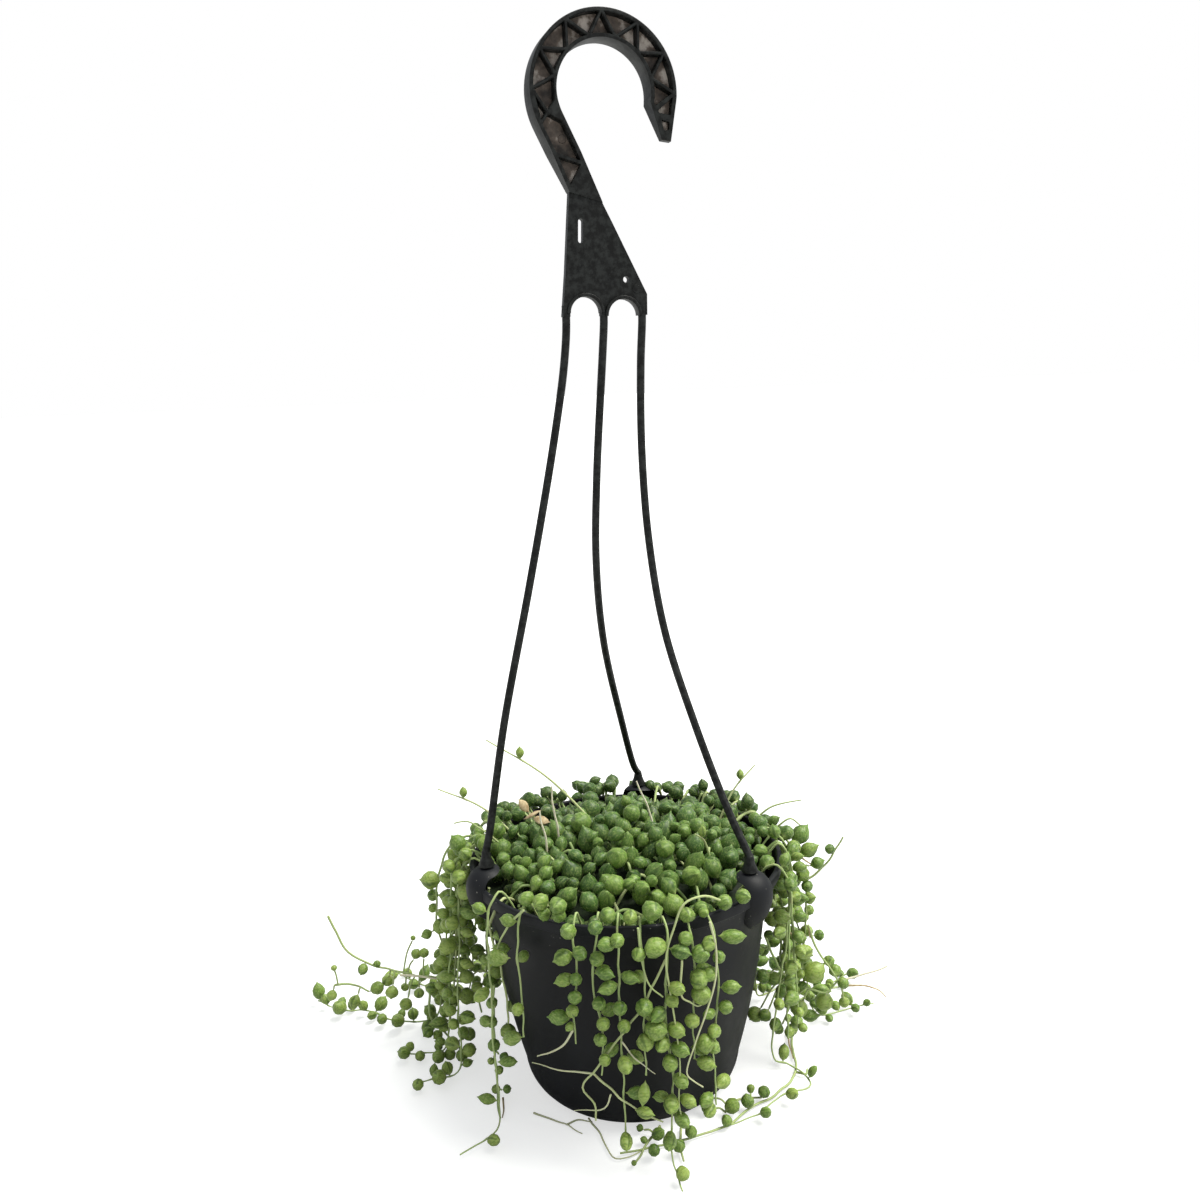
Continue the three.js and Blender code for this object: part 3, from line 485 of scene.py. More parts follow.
def hanger_plastic():
    """Injection-moulded polypropylene, black, satin from a polished mould, with brown dust in the pockets
    between the ribs that also stands for painted light on the web, whose rib sides stay black as painted
    shade, and pale painted highlights on the web."""
    material, add = new_material("hanger_plastic_satin_polypropylene")
    place = object_place(add)
    height = add("ShaderNodeSeparateXYZ", Vector=place).outputs["Z"]
    smears = add("ShaderNodeTexNoise", Vector=place, Scale=1 / 11, Detail=6.0, Roughness=0.6)
    yaw = math.radians(HANGER_YAW)
    flat_face = (-math.sin(yaw), math.cos(yaw), 0)

    def off_the_flat(vector):
        """A vector's length across the hanger's flat middle plane."""
        share = add("ShaderNodeVectorMath", operation="DOT_PRODUCT", _0=vector, _1=flat_face)
        return add("ShaderNodeMath", operation="ABSOLUTE", _0=share)
    # Only the web between the ribs, facing straight out, gets the brown: dust, and painted light on the web,
    # so that the rib sides stay black as painted shade.
    normal = add("ShaderNodeTexCoord").outputs["Normal"]
    facing = add("ShaderNodeMapRange", Value=off_the_flat(normal), From_Min=0.8, From_Max=0.95)
    web = HOOK["web"] / 2
    low = add("ShaderNodeMapRange", Value=off_the_flat(place), From_Min=web + 0.1, From_Max=web + 0.9,
              To_Min=1.0, To_Max=0.0)
    on_hook = add("ShaderNodeMapRange", Value=height, From_Min=452, From_Max=458)
    on_web = add("ShaderNodeMath", operation="MULTIPLY", _0=on_hook, _1=low)
    on_web = add("ShaderNodeMath", operation="MULTIPLY", _0=on_web, _1=facing)
    dust_and_lit_web = add("ShaderNodeMapRange", Value=smears, From_Min=0.38, From_Max=0.62, To_Min=0.12, To_Max=0.95)
    dust = add("ShaderNodeMath", operation="MULTIPLY", _0=on_web, _1=dust_and_lit_web)
    marks = add("ShaderNodeTexNoise", Vector=place, Scale=1 / 3, Detail=6.0, Roughness=0.65)
    marks = add("ShaderNodeMapRange", Value=marks, From_Min=0.42, From_Max=0.6)
    colour = add("ShaderNodeMix", data_type="RGBA", Factor=marks, A="#0a0b0a", B="#242625")
    colour = add("ShaderNodeMix", data_type="RGBA", Factor=dust, A=colour, B="#83756a")
    # Pale patches on the web are painted highlights.
    pale = add("ShaderNodeMapRange", Value=smears, From_Min=0.53, From_Max=0.63, To_Max=0.85)
    painted_highlight = add("ShaderNodeMath", operation="MULTIPLY", _0=on_web, _1=pale)
    colour = add("ShaderNodeMix", data_type="RGBA", Factor=painted_highlight, A=colour, B="#cdc4ba")
    scratches = add("ShaderNodeTexNoise", Vector=place, Scale=1 / 0.8, Detail=3.0)
    bump = add("ShaderNodeBump", Height=scratches, Strength=0.2, Distance=0.1 * MM)
    roughness = add("ShaderNodeMapRange", Value=smears, From_Min=0.3, From_Max=0.7, To_Min=0.36, To_Max=0.54)
    shader = add("ShaderNodeBsdfPrincipled", Base_Color=colour, Normal=bump, Roughness=roughness,
                 IOR=1.49, Specular_IOR_Level=0.22)
    add("ShaderNodeOutputMaterial", Surface=shader)
    return material


def potting_soil():
    """Damp peat with bark fibre: dark brown crumbs with a few lighter ones, fully matte."""
    material, add = new_material("potting_soil_peat")
    place = object_place(add)
    crumbs = add("ShaderNodeTexNoise", Vector=place, Scale=1 / 3, Detail=6.0, Roughness=0.7)
    drier = add("ShaderNodeMapRange", Value=crumbs, From_Min=0.35, From_Max=0.7)
    colour = add("ShaderNodeMix", data_type="RGBA", Factor=drier, A="#17110d", B="#3b2c20")
    fibre = add("ShaderNodeTexVoronoi", Vector=place, Scale=1 / 2.2).outputs["Distance"]
    fibre = add("ShaderNodeMapRange", Value=fibre, From_Min=0.02, From_Max=0.18, To_Min=0.5, To_Max=0.0)
    colour = add("ShaderNodeMix", data_type="RGBA", Factor=fibre, A=colour, B="#6b5541")
    bump = add("ShaderNodeBump", Height=crumbs, Strength=0.8, Distance=0.8 * MM)
    shader = add("ShaderNodeBsdfPrincipled", Base_Color=colour, Normal=bump, IOR=1.4, Roughness=0.95)
    add("ShaderNodeOutputMaterial", Surface=shader)
    return material


def pearl_leaf():
    """A succulent's bead leaf: thick green flesh under a waxy skin. Light goes a few millimetres
    into it, the wax gives a soft highlight and a bluish bloom, and a darker clear window runs from
    the stalk to the tip on one side. The tint attribute runs from lit yellow-green to shaded green,
    and the leaf's own map runs round it in u and from stalk to tip in v."""
    material, add = new_material("pearl_leaf_waxy_succulent")
    place = object_place(add)
    tint = add("ShaderNodeAttribute", attribute_name="tint").outputs["Fac"]
    colour = "#8fa34f"
    for low, high, shade in ((0.0, 0.5, "#668238"), (0.5, 1.0, "#3f5e2a"), (1.0, 1.6, "#1d2e13")):
        share = add("ShaderNodeMapRange", Value=tint, From_Min=low, From_Max=high)
        colour = add("ShaderNodeMix", data_type="RGBA", Factor=share, A=colour, B=shade)
    blotch = add("ShaderNodeTexNoise", Vector=place, Scale=1 / 3.5, Detail=3.0)
    pale = add("ShaderNodeMapRange", Value=blotch, From_Min=0.45, From_Max=0.75, To_Max=0.3)
    colour = add("ShaderNodeMix", data_type="RGBA", Factor=pale, A=colour, B="#90a361")
    over_leaf = add("ShaderNodeUVMap", uv_map="UVMap")
    drawn_out = add("ShaderNodeMapping", Vector=over_leaf, Scale=(16, 1.1, 1))
    apart = add("ShaderNodeVectorMath", operation="ADD", _0=drawn_out, _1=place)
    streaks = add("ShaderNodeTexNoise", Vector=apart, Scale=1.0, Detail=2.0)
    light = add("ShaderNodeMapRange", Value=streaks, From_Min=0.5, From_Max=0.7, To_Max=0.5)
    colour = add("ShaderNodeMix", data_type="RGBA", Factor=light, A=colour, B="#a2b46c")
    dark = add("ShaderNodeMapRange", Value=streaks, From_Min=0.34, From_Max=0.5, To_Min=0.45, To_Max=0.0)
    colour = add("ShaderNodeMix", data_type="RGBA", Factor=dark, A=colour, B="#345022")
    split = add("ShaderNodeSeparateXYZ", Vector=over_leaf)
    aside = add("ShaderNodeMath", operation="SUBTRACT", _0=split.outputs["X"], _1=0.5)
    aside = add("ShaderNodeMath", operation="ABSOLUTE", _0=aside)
    slit = add("ShaderNodeMapRange", Value=aside, From_Min=0.018, From_Max=0.05, To_Min=0.6, To_Max=0.0)
    middle = add("ShaderNodeMath", operation="SUBTRACT", _0=split.outputs["Y"], _1=0.56)
    middle = add("ShaderNodeMath", operation="ABSOLUTE", _0=middle)
    length = add("ShaderNodeMapRange", Value=middle, From_Min=0.24, From_Max=0.34, To_Min=1.0, To_Max=0.0)
    window = add("ShaderNodeMath", operation="MULTIPLY", _0=slit, _1=length)
    colour = add("ShaderNodeMix", data_type="RGBA", Factor=window, A=colour, B="#314a1c")
    tip = add("ShaderNodeMapRange", Value=split.outputs["Y"], From_Min=0.93, To_Max=0.6)
    colour = add("ShaderNodeMix", data_type="RGBA", Factor=tip, A=colour, B="#9fae72")
    stalk = add("ShaderNodeMapRange", Value=split.outputs["Y"], From_Min=0.1, From_Max=0.3, To_Min=0.8,
                To_Max=0.0)
    colour = add("ShaderNodeMix", data_type="RGBA", Factor=stalk, A=colour, B="#9dac69")
    bump = add("ShaderNodeBump", Height=blotch, Strength=0.25, Distance=0.3 * MM)
    roughness = add("ShaderNodeMapRange", Value=blotch, From_Min=0.3, From_Max=0.7, To_Min=0.34, To_Max=0.5)
    shader = add("ShaderNodeBsdfPrincipled", Base_Color=colour, Normal=bump, Roughness=roughness, IOR=1.42,
                 Subsurface_Weight=0.25, Subsurface_Scale=2.2 * MM, Subsurface_Radius=(0.5, 1.0, 0.25),
                 Specular_IOR_Level=0.42, Sheen_Weight=0.05, Sheen_Roughness=0.4, Sheen_Tint="#dfe8cf")
    add("ShaderNodeOutputMaterial", Surface=shader)
    return material


def pearl_stem():
    """A thin juicy stem: pale green where it grows, straw-white and matte where it has dried."""
    material, add = new_material("pearl_stem_thin_and_pale")
    place = object_place(add)
    tint = add("ShaderNodeAttribute", attribute_name="tint").outputs["Fac"]
    older = add("ShaderNodeMapRange", Value=tint, From_Max=0.5)
    colour = add("ShaderNodeMix", data_type="RGBA", Factor=older, A="#8fa866", B="#b3bd86")
    dry = add("ShaderNodeMapRange", Value=tint, From_Min=0.5)
    colour = add("ShaderNodeMix", data_type="RGBA", Factor=dry, A=colour, B="#e0dac3")
    marks = add("ShaderNodeTexNoise", Vector=place, Scale=1 / 5, Detail=4.0)
    marks = add("ShaderNodeMapRange", Value=marks, From_Min=0.55, From_Max=0.75, To_Max=0.5)
    colour = add("ShaderNodeMix", data_type="RGBA", Factor=marks, A=colour, B="#a29672")
    shader = add("ShaderNodeBsdfPrincipled", Base_Color=colour, IOR=1.4, Roughness=0.58,
                 Subsurface_Weight=0.1, Subsurface_Scale=1.0 * MM, Subsurface_Radius=(0.6, 1.0, 0.3))
    add("ShaderNodeOutputMaterial", Surface=shader)
    return material


def matte_stuff(name, grain, detail, colours, mixed, bump, roughness):
    """A matte stuff in which two colours mix over a range of its noise. Its bump, a strength and a
    height in millimetres, has the same grain."""
    material, add = new_material(name)
    marks = add("ShaderNodeTexNoise", Vector=object_place(add), Scale=1 / grain, Detail=detail)
    share = add("ShaderNodeMapRange", Value=marks, From_Min=mixed[0], From_Max=mixed[1])
    colour = add("ShaderNodeMix", data_type="RGBA", Factor=share, A=colours[0], B=colours[1])
    relief = add("ShaderNodeBump", Height=marks, Strength=bump[0], Distance=bump[1] * MM)
    shader = add("ShaderNodeBsdfPrincipled", Base_Color=colour, Normal=relief, IOR=1.4, Roughness=roughness)
    add("ShaderNodeOutputMaterial", Surface=shader)
    return material


def dry_leaf():
    """A withered leaf or root: papery, tan, matte."""
    return matte_stuff("dry_leaf_papery", grain=2.5, detail=4.0, colours=("#cbb994", "#98805c"),
                       mixed=(0.35, 0.7), bump=(0.5, 0.3), roughness=0.85)


def mat_heart():
    """Old stems and shed leaves deep in the plant: green-brown and matte, and near black as painted shade for
    the gaps between the crown's leaves.
    """
    return matte_stuff("old_stems_in_shade", grain=4, detail=5.0, colours=("#0e170a", "#223216"),
                       mixed=(0.35, 0.65), bump=(0.8, 1.0), roughness=0.8)


def studio_floor():
    """A pale matte floor, lifted to near white for the camera, so that it doesn't light the
    object from below."""
    material, add = new_material("studio_floor_pale")
    seen = add("ShaderNodeLightPath").outputs["Is Camera Ray"]
    glow = add("ShaderNodeMath", operation="MULTIPLY", _0=seen, _1=0.66)
    shader = add("ShaderNodeBsdfPrincipled", Base_Color="#c2c3c4", Roughness=0.9, Specular_IOR_Level=0.1,
                 Emission_Color="#f4f4f3", Emission_Strength=glow)
    add("ShaderNodeOutputMaterial", Surface=shader)
    return material


POT_PLASTIC, HANGER_PLASTIC, POTTING_SOIL = pot_plastic(), hanger_plastic(), potting_soil()
PEARL_LEAF, PEARL_STEM, DRY_LEAF, MAT_HEART = pearl_leaf(), pearl_stem(), dry_leaf(), mat_heart()


# ---- mesh helpers ----
def new_object(name, mesh):
    thing = bpy.data.objects.new(name, mesh)
    bpy.context.scene.collection.objects.link(thing)
    return thing


def mesh_of(name, points, faces, edges=()):
    """A mesh in metres from points in millimetres."""
    mesh = bpy.data.meshes.new(name)
    mesh.from_pydata([tuple(MM * c for c in point) for point in points], list(edges), faces)
    mesh.update()
    return mesh


def cleaned(mesh, merge=0.01):
    """Merges doubles and turns the faces outwards."""
    work = bmesh.new()
    work.from_mesh(mesh)
    if merge:
        bmesh.ops.remove_doubles(work, verts=work.verts, dist=merge * MM)
    bmesh.ops.recalc_face_normals(work, faces=work.faces)
    work.to_mesh(mesh)
    work.free()
    return mesh


def turned(name, profile, sides=POT_SIDES):
    """A solid of revolution about the vertical, from (radius, height) pairs."""
    points, rows = [], []
    for radius, z in profile:
        if radius < 1e-6:
            points.append((0, 0, z))
            rows.append([len(points) - 1] * sides)
            continue
        rows.append(list(range(len(points), len(points) + sides)))
        points += [tuple(polar(360 * i / sides, radius, z)) for i in range(sides)]
    faces = []
    for low, high in zip(rows, rows[1:]):
        for i in range(sides):
            j = (i + 1) % sides
            corners = list(dict.fromkeys((low[i], low[j], high[j], high[i])))
            if len(corners) > 2:
                faces.append(corners)
    return new_object(name, cleaned(mesh_of(name, points, faces)))


def rounded(points, radius, steps=4, closed=False):
    """The same outline with its sharp corners rounded off."""
    points = [np.array(point, float) for point in points]
    count = len(points)
    result = []
    for i, corner in enumerate(points):
        if not closed and i in (0, count - 1):
            result.append(corner)
            continue
        before, after = points[i - 1] - corner, points[(i + 1) % count] - corner
        cut = min(radius, 0.45 * np.linalg.norm(before), 0.45 * np.linalg.norm(after))
        start, end = corner + unit(before) * cut, corner + unit(after) * cut
        for k in range(steps + 1):
            t = k / steps
            result.append((1 - t) ** 2 * start + 2 * t * (1 - t) * corner + t ** 2 * end)
    return result


def evaluated(thing):
    """Replaces an object's mesh by what its modifiers make of it, and removes them."""
    graph = bpy.context.evaluated_depsgraph_get()
    mesh = bpy.data.meshes.new_from_object(thing.evaluated_get(graph), preserve_all_data_layers=True,
                                           depsgraph=graph)
    thing.modifiers.clear()
    if thing.type == "MESH":
        thing.data = mesh
        return thing
    name = thing.name
    bpy.data.objects.remove(thing)
    return new_object(name, mesh)


def combine(thing, tools, operation):
    """Joins tools to an object or cuts them out of it, and removes the tools."""
    for tool in tools:
        modifier = thing.modifiers.new(tool.name, "BOOLEAN")
        modifier.operation = operation
        modifier.solver = "MANIFOLD"
        modifier.object = tool
    thing = evaluated(thing)
    for tool in tools:
        bpy.data.objects.remove(tool)
    return thing


def moved(thing, place, turn=0.0):
    """Bakes a place in millimetres, and a clockwise turn about the vertical, into an object's mesh."""
    about_vertical = Matrix.Rotation(-math.radians(turn), 4, "Z")
    thing.data.transform(Matrix.Translation(Vector(place) * MM) @ about_vertical)
    return thing


def upright(thing, place=(0, 0, 0)):
    """Turns a mesh drawn in x and y, or about the vertical, to face the front, at a place."""
    turn = Matrix.Rotation(math.pi / 2, 4, "X")
    thing.data.transform(Matrix.Translation(Vector(place) * MM) @ turn)
    return thing


def soften(thing, angle=32):
    """Shades smooth, with edges kept sharp where the surface turns by more than the angle."""
    thing.data.polygons.foreach_set("use_smooth", [True] * len(thing.data.polygons))
    thing.data.set_sharp_from_angle(angle=math.radians(angle))
    return thing


def dress(thing, slot, material, *nodes):
    """Gives a finished piece its one material and hands it over."""
    thing.data.materials.clear()
    thing.data.materials.append(material)
    hand_over(thing, slot, *nodes)


def hand_over(thing, slot, *nodes):
    """Says what a piece rides on and what it replaces; the slot that it would take its finish from is not
    used.
    """
    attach(thing, "root")
    if nodes:
        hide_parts(*nodes)


# ---- pot ----
def lug_outline(inset=0.0):
    """The hood's outline, smoothed, and drawn in towards its middle by inset."""
    widest = max(r for r, _ in LUG_PROFILE)
    half = LUG_PROFILE[0][1] - LUG_MIDDLE
    smooth = Path([(r, z, 0) for r, z in LUG_PROFILE]).spaced(26)
    across, along = (widest - inset) / widest, (half - inset) / half
    return [(max(0, r) * across, LUG_MIDDLE + (z - LUG_MIDDLE) * along) for r, z, _ in smooth]


def plug(radius, low, high):
    """The outline of an upright cylinder."""
    return [(0, low), (radius, low), (radius, high), (0, high)]


def pot_profile():
    """The pot's wall as a closed outline: up the outside, over the rim and down the inside."""
    shoulder, height = SHOULDER_TOP
    rim = rounded([SHOULDER_TOP, *RIM_OUTLINE, (RIM_RADIUS - RIM_LIP - 0.4, height + 1),
                   (shoulder - POT_WALL, height)], 0.8, 3)
    recess = [(0, 1.0), (FOOT_RADIUS - 12, 1.0), (FOOT_RADIUS - 10.5, 0)]    # under the base
    outside = wall_outline(0, 10, 12)[:-1]
    inside = wall_outline(POT_WALL, 8, 10)[:-1][::-1]
    return [*recess, *outside, *rim, *inside, (0, POT_WALL + 0.4)]


def make_pot():
    pot = turned("pot_moulding", pot_profile())
    crown = LUG_PROFILE[0][1] + 2
    mouth = rounded([(RIM_RADIUS - RIM_LIP / 2, POT_HEIGHT - 0.5), *ARCH, (ARCH[-1][0], crown)], 2, 3)
    trimmer = [(0, POT_WALL), *wall_outline(POT_WALL / 2, 8, 10), *mouth, (0, crown)]
    for azimuth in LUG_AZIMUTHS:
        place = polar(azimuth, LUG_RING)
        lug = moved(turned("lug", lug_outline(), LUG_SIDES), place)
        lug = combine(lug, [turned("trim", trimmer)], "DIFFERENCE")
        pot = combine(pot, [lug], "UNION")
        hollow = moved(turned("hollow", lug_outline(LUG_WALL), LUG_SIDES), place)
        neck = moved(turned("neck", plug(2.4, 126, crown), 24), place)
        pot = combine(pot, [hollow, neck], "DIFFERENCE")
    drains = [moved(turned("drain", plug(DRAIN["radius"], -1, 4), 32),
                    polar(i * 360 / DRAIN["count"], DRAIN["ring"])) for i in range(DRAIN["count"])]
    pot = combine(pot, drains, "DIFFERENCE")
    dress(soften(pot, 34), "pot_plastic", POT_PLASTIC, "pot")


# ---- hanger ----
def band_point(turn, across):
    """A point on the hook's band: turn runs from the tip round the hook and down the straight
    shank, across runs from the inner flange (0) to the outer one (1)."""
    radius = mix(HOOK["inner"], HOOK["outer"], across)
    angle = math.radians(min(turn, SHANK_START))
    beyond = math.radians(max(0, turn - SHANK_START)) * (HOOK["inner"] + HOOK["outer"]) / 2
    heading = math.radians(SHANK_START + 90)
    return (HOOK["x"] + radius * math.cos(angle) + beyond * math.cos(heading),
            HOOK["z"] + radius * math.sin(angle) + beyond * math.sin(heading))


def band_run(start, end, across, steps):
    return [band_point(mix(start, end, i / steps), across) for i in range(steps + 1)]


def shrunk(points, inset):
    """A polygon with every edge moved inwards."""
    area = sum(x * points[(i + 1) % len(points)][1] - points[(i + 1) % len(points)][0] * z
               for i, (x, z) in enumerate(points))
    loop = [np.array(p) for p in (points if area > 0 else points[::-1])]
    along = [unit(loop[(i + 1) % len(loop)] - point) for i, point in enumerate(loop)]
    starts = [point + np.array([-a[1], a[0]]) * inset for point, a in zip(loop, along)]
    result = []
    for i, start in enumerate(starts):
        before, way, own = starts[i - 1], along[i - 1], along[i]
        cross = way[0] * own[1] - way[1] * own[0]
        gap = start - before
        reach = (gap[0] * own[1] - gap[1] * own[0]) / cross if abs(cross) > 1e-6 else 0
        result.append(before + way * reach if abs(cross) > 1e-6 else start)
    return result


def hook_pockets():
    """The pockets between the hook's ribs: a zigzag round the arc, then the shank's."""
    inner, outer = FLANGE
    half = RIB_PITCH / 2
    pockets = [[band_point(*corner) for corner in pocket] for pocket in SHANK_POCKETS] + TIP_POCKETS
    for turn in range(0, 180, RIB_PITCH):
        back, extra = (turn - half, []) if turn else (HOOK_START, [TIP_NODE])
        pockets.append([*band_run(turn, turn + RIB_PITCH, outer, 8), band_point(turn + half, inner)])
        pockets.append([band_point(turn, outer), *band_run(turn + half, back, inner, 8), *extra])
    return pockets


def wedge(side, taper):
    """What thins the hook on one face, at its tip or where its shank runs into the plate."""
    half, top, foot = HOOK["thickness"] / 2, taper["top"], taper["foot"]
    section = [(side * half, top), (side * taper["half"], foot), (side * (half + 2), foot),
               (side * (half + 2), top)]
    return lofted("wedge", [[(x, y, z) for y, z in section] for x in (taper["from"], taper["to"])])


def lofted(name, loops):
    """A closed solid between loops of points, each with as many points as the next."""
    count = len(loops[0])
    points = [point for loop in loops for point in loop]
    faces = [list(range(count))[::-1], list(range(len(points) - count, len(points)))]
    for row in range(len(loops) - 1):
        for i in range(count):
            j = (i + 1) % count
            below, above = row * count, (row + 1) * count
            faces.append([below + i, below + j, above + j, above + i])
    return new_object(name, cleaned(mesh_of(name, points, faces), 0))


def pocket_cutter(pocket, side):
    """A pocket's hollow on one side of the web, with draft on its walls and eased upper edges."""
    web, face = HOOK["web"] / 2, HOOK["thickness"] / 2
    levels = [(web, 0.12), (web + 0.3, 0.02), (face - 0.4, 0), (face, -0.3), (face + 1, -0.3)]
    loops = []
    for depth, inset in levels:
        loop = rounded(shrunk(pocket, RIB_HALF + inset), 0.6, 2, closed=True)
        loops.append([(x, side * depth, z) for x, z in loop])
    return lofted("pocket", loops)


def slab(name, outline, holes, thickness, bevel):
    """An upright plate with rounded edges, drawn in x and z, with holes through it."""
    curve = bpy.data.curves.new(name, "CURVE")
    curve.dimensions, curve.fill_mode = "2D", "BOTH"
    curve.extrude, curve.bevel_depth = (thickness / 2 - bevel) * MM, bevel * MM
    curve.bevel_resolution, curve.offset = 2, -bevel * MM
    for loop in (outline, *holes):
        spline = curve.splines.new("POLY")
        spline.points.add(len(loop) - 1)
        spline.use_cyclic_u = True
        for point, (x, z) in zip(spline.points, loop):
            point.co = (x * MM, z * MM, 0, 1)
    plate = upright(evaluated(new_object(name, curve)))
    cleaned(plate.data)
    return plate


def arc_points(x, z, radius, start, end, steps):
    """Points on an arc in x and z, from one angle to another in half turns."""
    angles = [math.pi * mix(start, end, i / steps) for i in range(steps + 1)]
    return [(x + radius * math.cos(angle), z + radius * math.sin(angle)) for angle in angles]


def hook_outline():
    return [*HOOK_TIP, *band_run(HOOK_START + 4, SHANK_START, 1, 60),
            band_point(SHANK_ENDS[0], 1), band_point(SHANK_ENDS[1], 0),
            *band_run(SHANK_START, HOOK_START, 0, 54)]


def make_hanger_head():
    """The hook with its ribs and web, and the plate under it, as one moulding."""
    hook = slab("hook", hook_outline(), [], HOOK["thickness"], 0.4)
    cutters = [pocket_cutter(pocket, side) for pocket in hook_pockets() for side in (-1, 1)]
    wedges = [wedge(side, taper) for taper in (TIP_TAPER, SHANK_TAPER) for side in (-1, 1)]
    hook = combine(hook, [*cutters, *wedges], "DIFFERENCE")
    outline = [(PLATE_SIDES[0], PLATE_FOOT)]
    for x, z, radius in ARCHES:
        arch = arc_points(x, z, radius, 1, 0, 20)
        outline += [(x - radius, PLATE_FOOT), *arch, (x + radius, PLATE_FOOT)]
    outline += [(PLATE_SIDES[1], PLATE_FOOT), *PLATE_TOP]
    slot = [*arc_points(*SLOT["low"], SLOT["half"], 1, 2, 8),
            *arc_points(*SLOT["high"], SLOT["half"], 0, 1, 8)]
    plate = slab("plate", outline, [slot, arc_points(*PLATE_HOLE, 0, 2, 28)[:-1]], PLATE_THICKNESS, 0)
    beads = []
    for x, z, radius in ARCHES:
        loop = [*arc_points(x, z, radius, 0, 1, 20), *arc_points(x, z, radius + BEAD["width"], 1, 0, 20)]
        beads.append(slab("arch_bead", loop, [], PLATE_THICKNESS + 2 * BEAD["proud"], 0.35))
    head = combine(hook, [plate, *beads], "UNION")
    return moved(head, (0, 0, 0), -HANGER_YAW)


def strand_path(leg, lug, bow):
    """A strand's way from the plate's foot down to its lug."""
    yaw = math.radians(HANGER_YAW)
    top = np.array([leg * math.cos(yaw), leg * math.sin(yaw), 0])
    end = polar(lug, LUG_RING)
    points = [top + [0, 0, PLATE_FOOT + 5], top + [0, 0, PLATE_FOOT - 2]]
    for share, z, sideways in bow:
        place = mix(top, end, share)
        points.append((place[0] + sideways, place[1], z))
    points.append(end + [0, 0, FOOT_TOP - 1.5])
    return Path(points)


def ejector_mark(x, z, radius):
    """The faint disc that an ejector pin leaves on the plate or on the hook's web."""
    mark = turned("ejector_mark", rounded(plug(radius, -0.2, 0.25), 0.1, 1), 32)
    depth = PLATE_THICKNESS / 2 if z < PLATE_HEAD else HOOK["web"] / 2
    return moved(upright(mark, (x, -depth, z)), (0, 0, 0), -HANGER_YAW)


def make_hanger():
    head = make_hanger_head()
    growth = Growth()
    for leg, lug, bow in STRANDS:
        growth.stem(strand_path(leg, lug, bow).spaced(70), STRAND_RADIUS)
    strands = growth.made("strands", sides=20)
    for azimuth in LUG_AZIMUTHS:
        foot = turned("foot", rounded(FOOT_PROFILE, 0.5, 2), 36)
        join_meshes(strands, moved(foot, polar(azimuth, LUG_RING)))
    for x, z, radius in EJECTOR_MARKS:
        join_meshes(head, ejector_mark(x, z, radius))
    join_meshes(head, strands)
    head.name = "hanger_moulding"
    dress(soften(head, 36), "hanger_plastic", HANGER_PLASTIC, "hanger")


def join_meshes(thing, other):
    work = bmesh.new()
    work.from_mesh(thing.data)
    work.from_mesh(other.data)
    work.to_mesh(thing.data)
    work.free()
    bpy.data.objects.remove(other)


# ---- the plant's tree: beads on stems ----
LEAF_KINDS = {"round": 0, "pointed": 1, "folded": 2}    # each with its number in the fed mesh
STALK_END = -1.4                 # where a unit leaf's stalk begins, on the leaf's axis
# What each point of the fed mesh holds: the type of its attribute, and of the numbers.
POINT_VALUES = {"leaf": ("BOOLEAN", bool), "kind": ("INT", np.int32), "tint": ("FLOAT", np.float32),
                "thickness": ("FLOAT", np.float32), "axis": ("FLOAT_VECTOR", np.float32),
                "size": ("FLOAT_VECTOR", np.float32)}


def unit_leaf(name, profile, sides=9, crease=0.0):
    """A leaf of about unit radius along +Z: a lathe with a map whose u runs round and v runs along.
    A crease draws it in along one side, as a leaf that is short of water folds."""
    points, faces, uvs = [], [], []
    rows = []
    for radius, z in profile:
        if radius < 1e-6:
            points.append((0, 0, z))
            rows.append([len(points) - 1] * (sides + 1))
            continue
        start = len(points)
        for i in range(sides):
            angle = 2 * math.pi * i / sides
            facing = max(0, -math.cos(angle)) ** 4
            reach = radius * (1 - crease * facing)
            points.append((reach * math.cos(angle), reach * math.sin(angle) * (1 - 0.2 * crease), z))
        rows.append([start + i % sides for i in range(sides + 1)])
    for k, (low, high) in enumerate(zip(rows, rows[1:])):
        v0, v1 = k / (len(rows) - 1), (k + 1) / (len(rows) - 1)
        for i in range(sides):
            corners = [(low[i], (i / sides, v0)), (low[i + 1], ((i + 1) / sides, v0)),
                       (high[i + 1], ((i + 1) / sides, v1)), (high[i], (i / sides, v1))]
            seen, kept = set(), []
            for point, uv in corners:
                if point not in seen:
                    seen.add(point)
                    kept.append((point, uv))
            if len(kept) > 2:
                faces.append([point for point, _ in kept])
                uvs += [uv for _, uv in kept]
    mesh = bpy.data.meshes.new(name)
    mesh.from_pydata(points, [], faces)
    layer = mesh.uv_layers.new(name="UVMap")
    for item, uv in zip(layer.data, uvs):
        item.uv = uv
    mesh.polygons.foreach_set("use_smooth", [True] * len(faces))
    mesh.update()
    return new_object(name, mesh)


ROUND_LEAF = [(0, STALK_END), (0.15, -1.05), (0.62, -0.78), (0.95, -0.28), (0.99, 0.25), (0.72, 0.74),
              (0.2, 1.06), (0, 1.3)]
POINTED_LEAF = [(0, STALK_END), (0.15, -1.1), (0.6, -0.74), (0.91, -0.2), (0.92, 0.3), (0.6, 0.84),
                (0.15, 1.24), (0, 1.5)]
FOLDED_LEAF = [(0, STALK_END), (0.16, -1.1), (0.66, -0.8), (0.97, -0.25), (1.0, 0.3), (0.7, 0.84),
               (0.22, 1.14), (0, 1.34)]


def leaf_input(kind):
    """The tree's input for the shape of one kind of leaf."""
    return f"{kind.capitalize()} leaf"


def named_input(tree, name, kind, value=None):
    socket = tree.interface.new_socket(name, in_out="INPUT", socket_type=kind)
    if value is not None:
        socket.default_value = value
    return socket


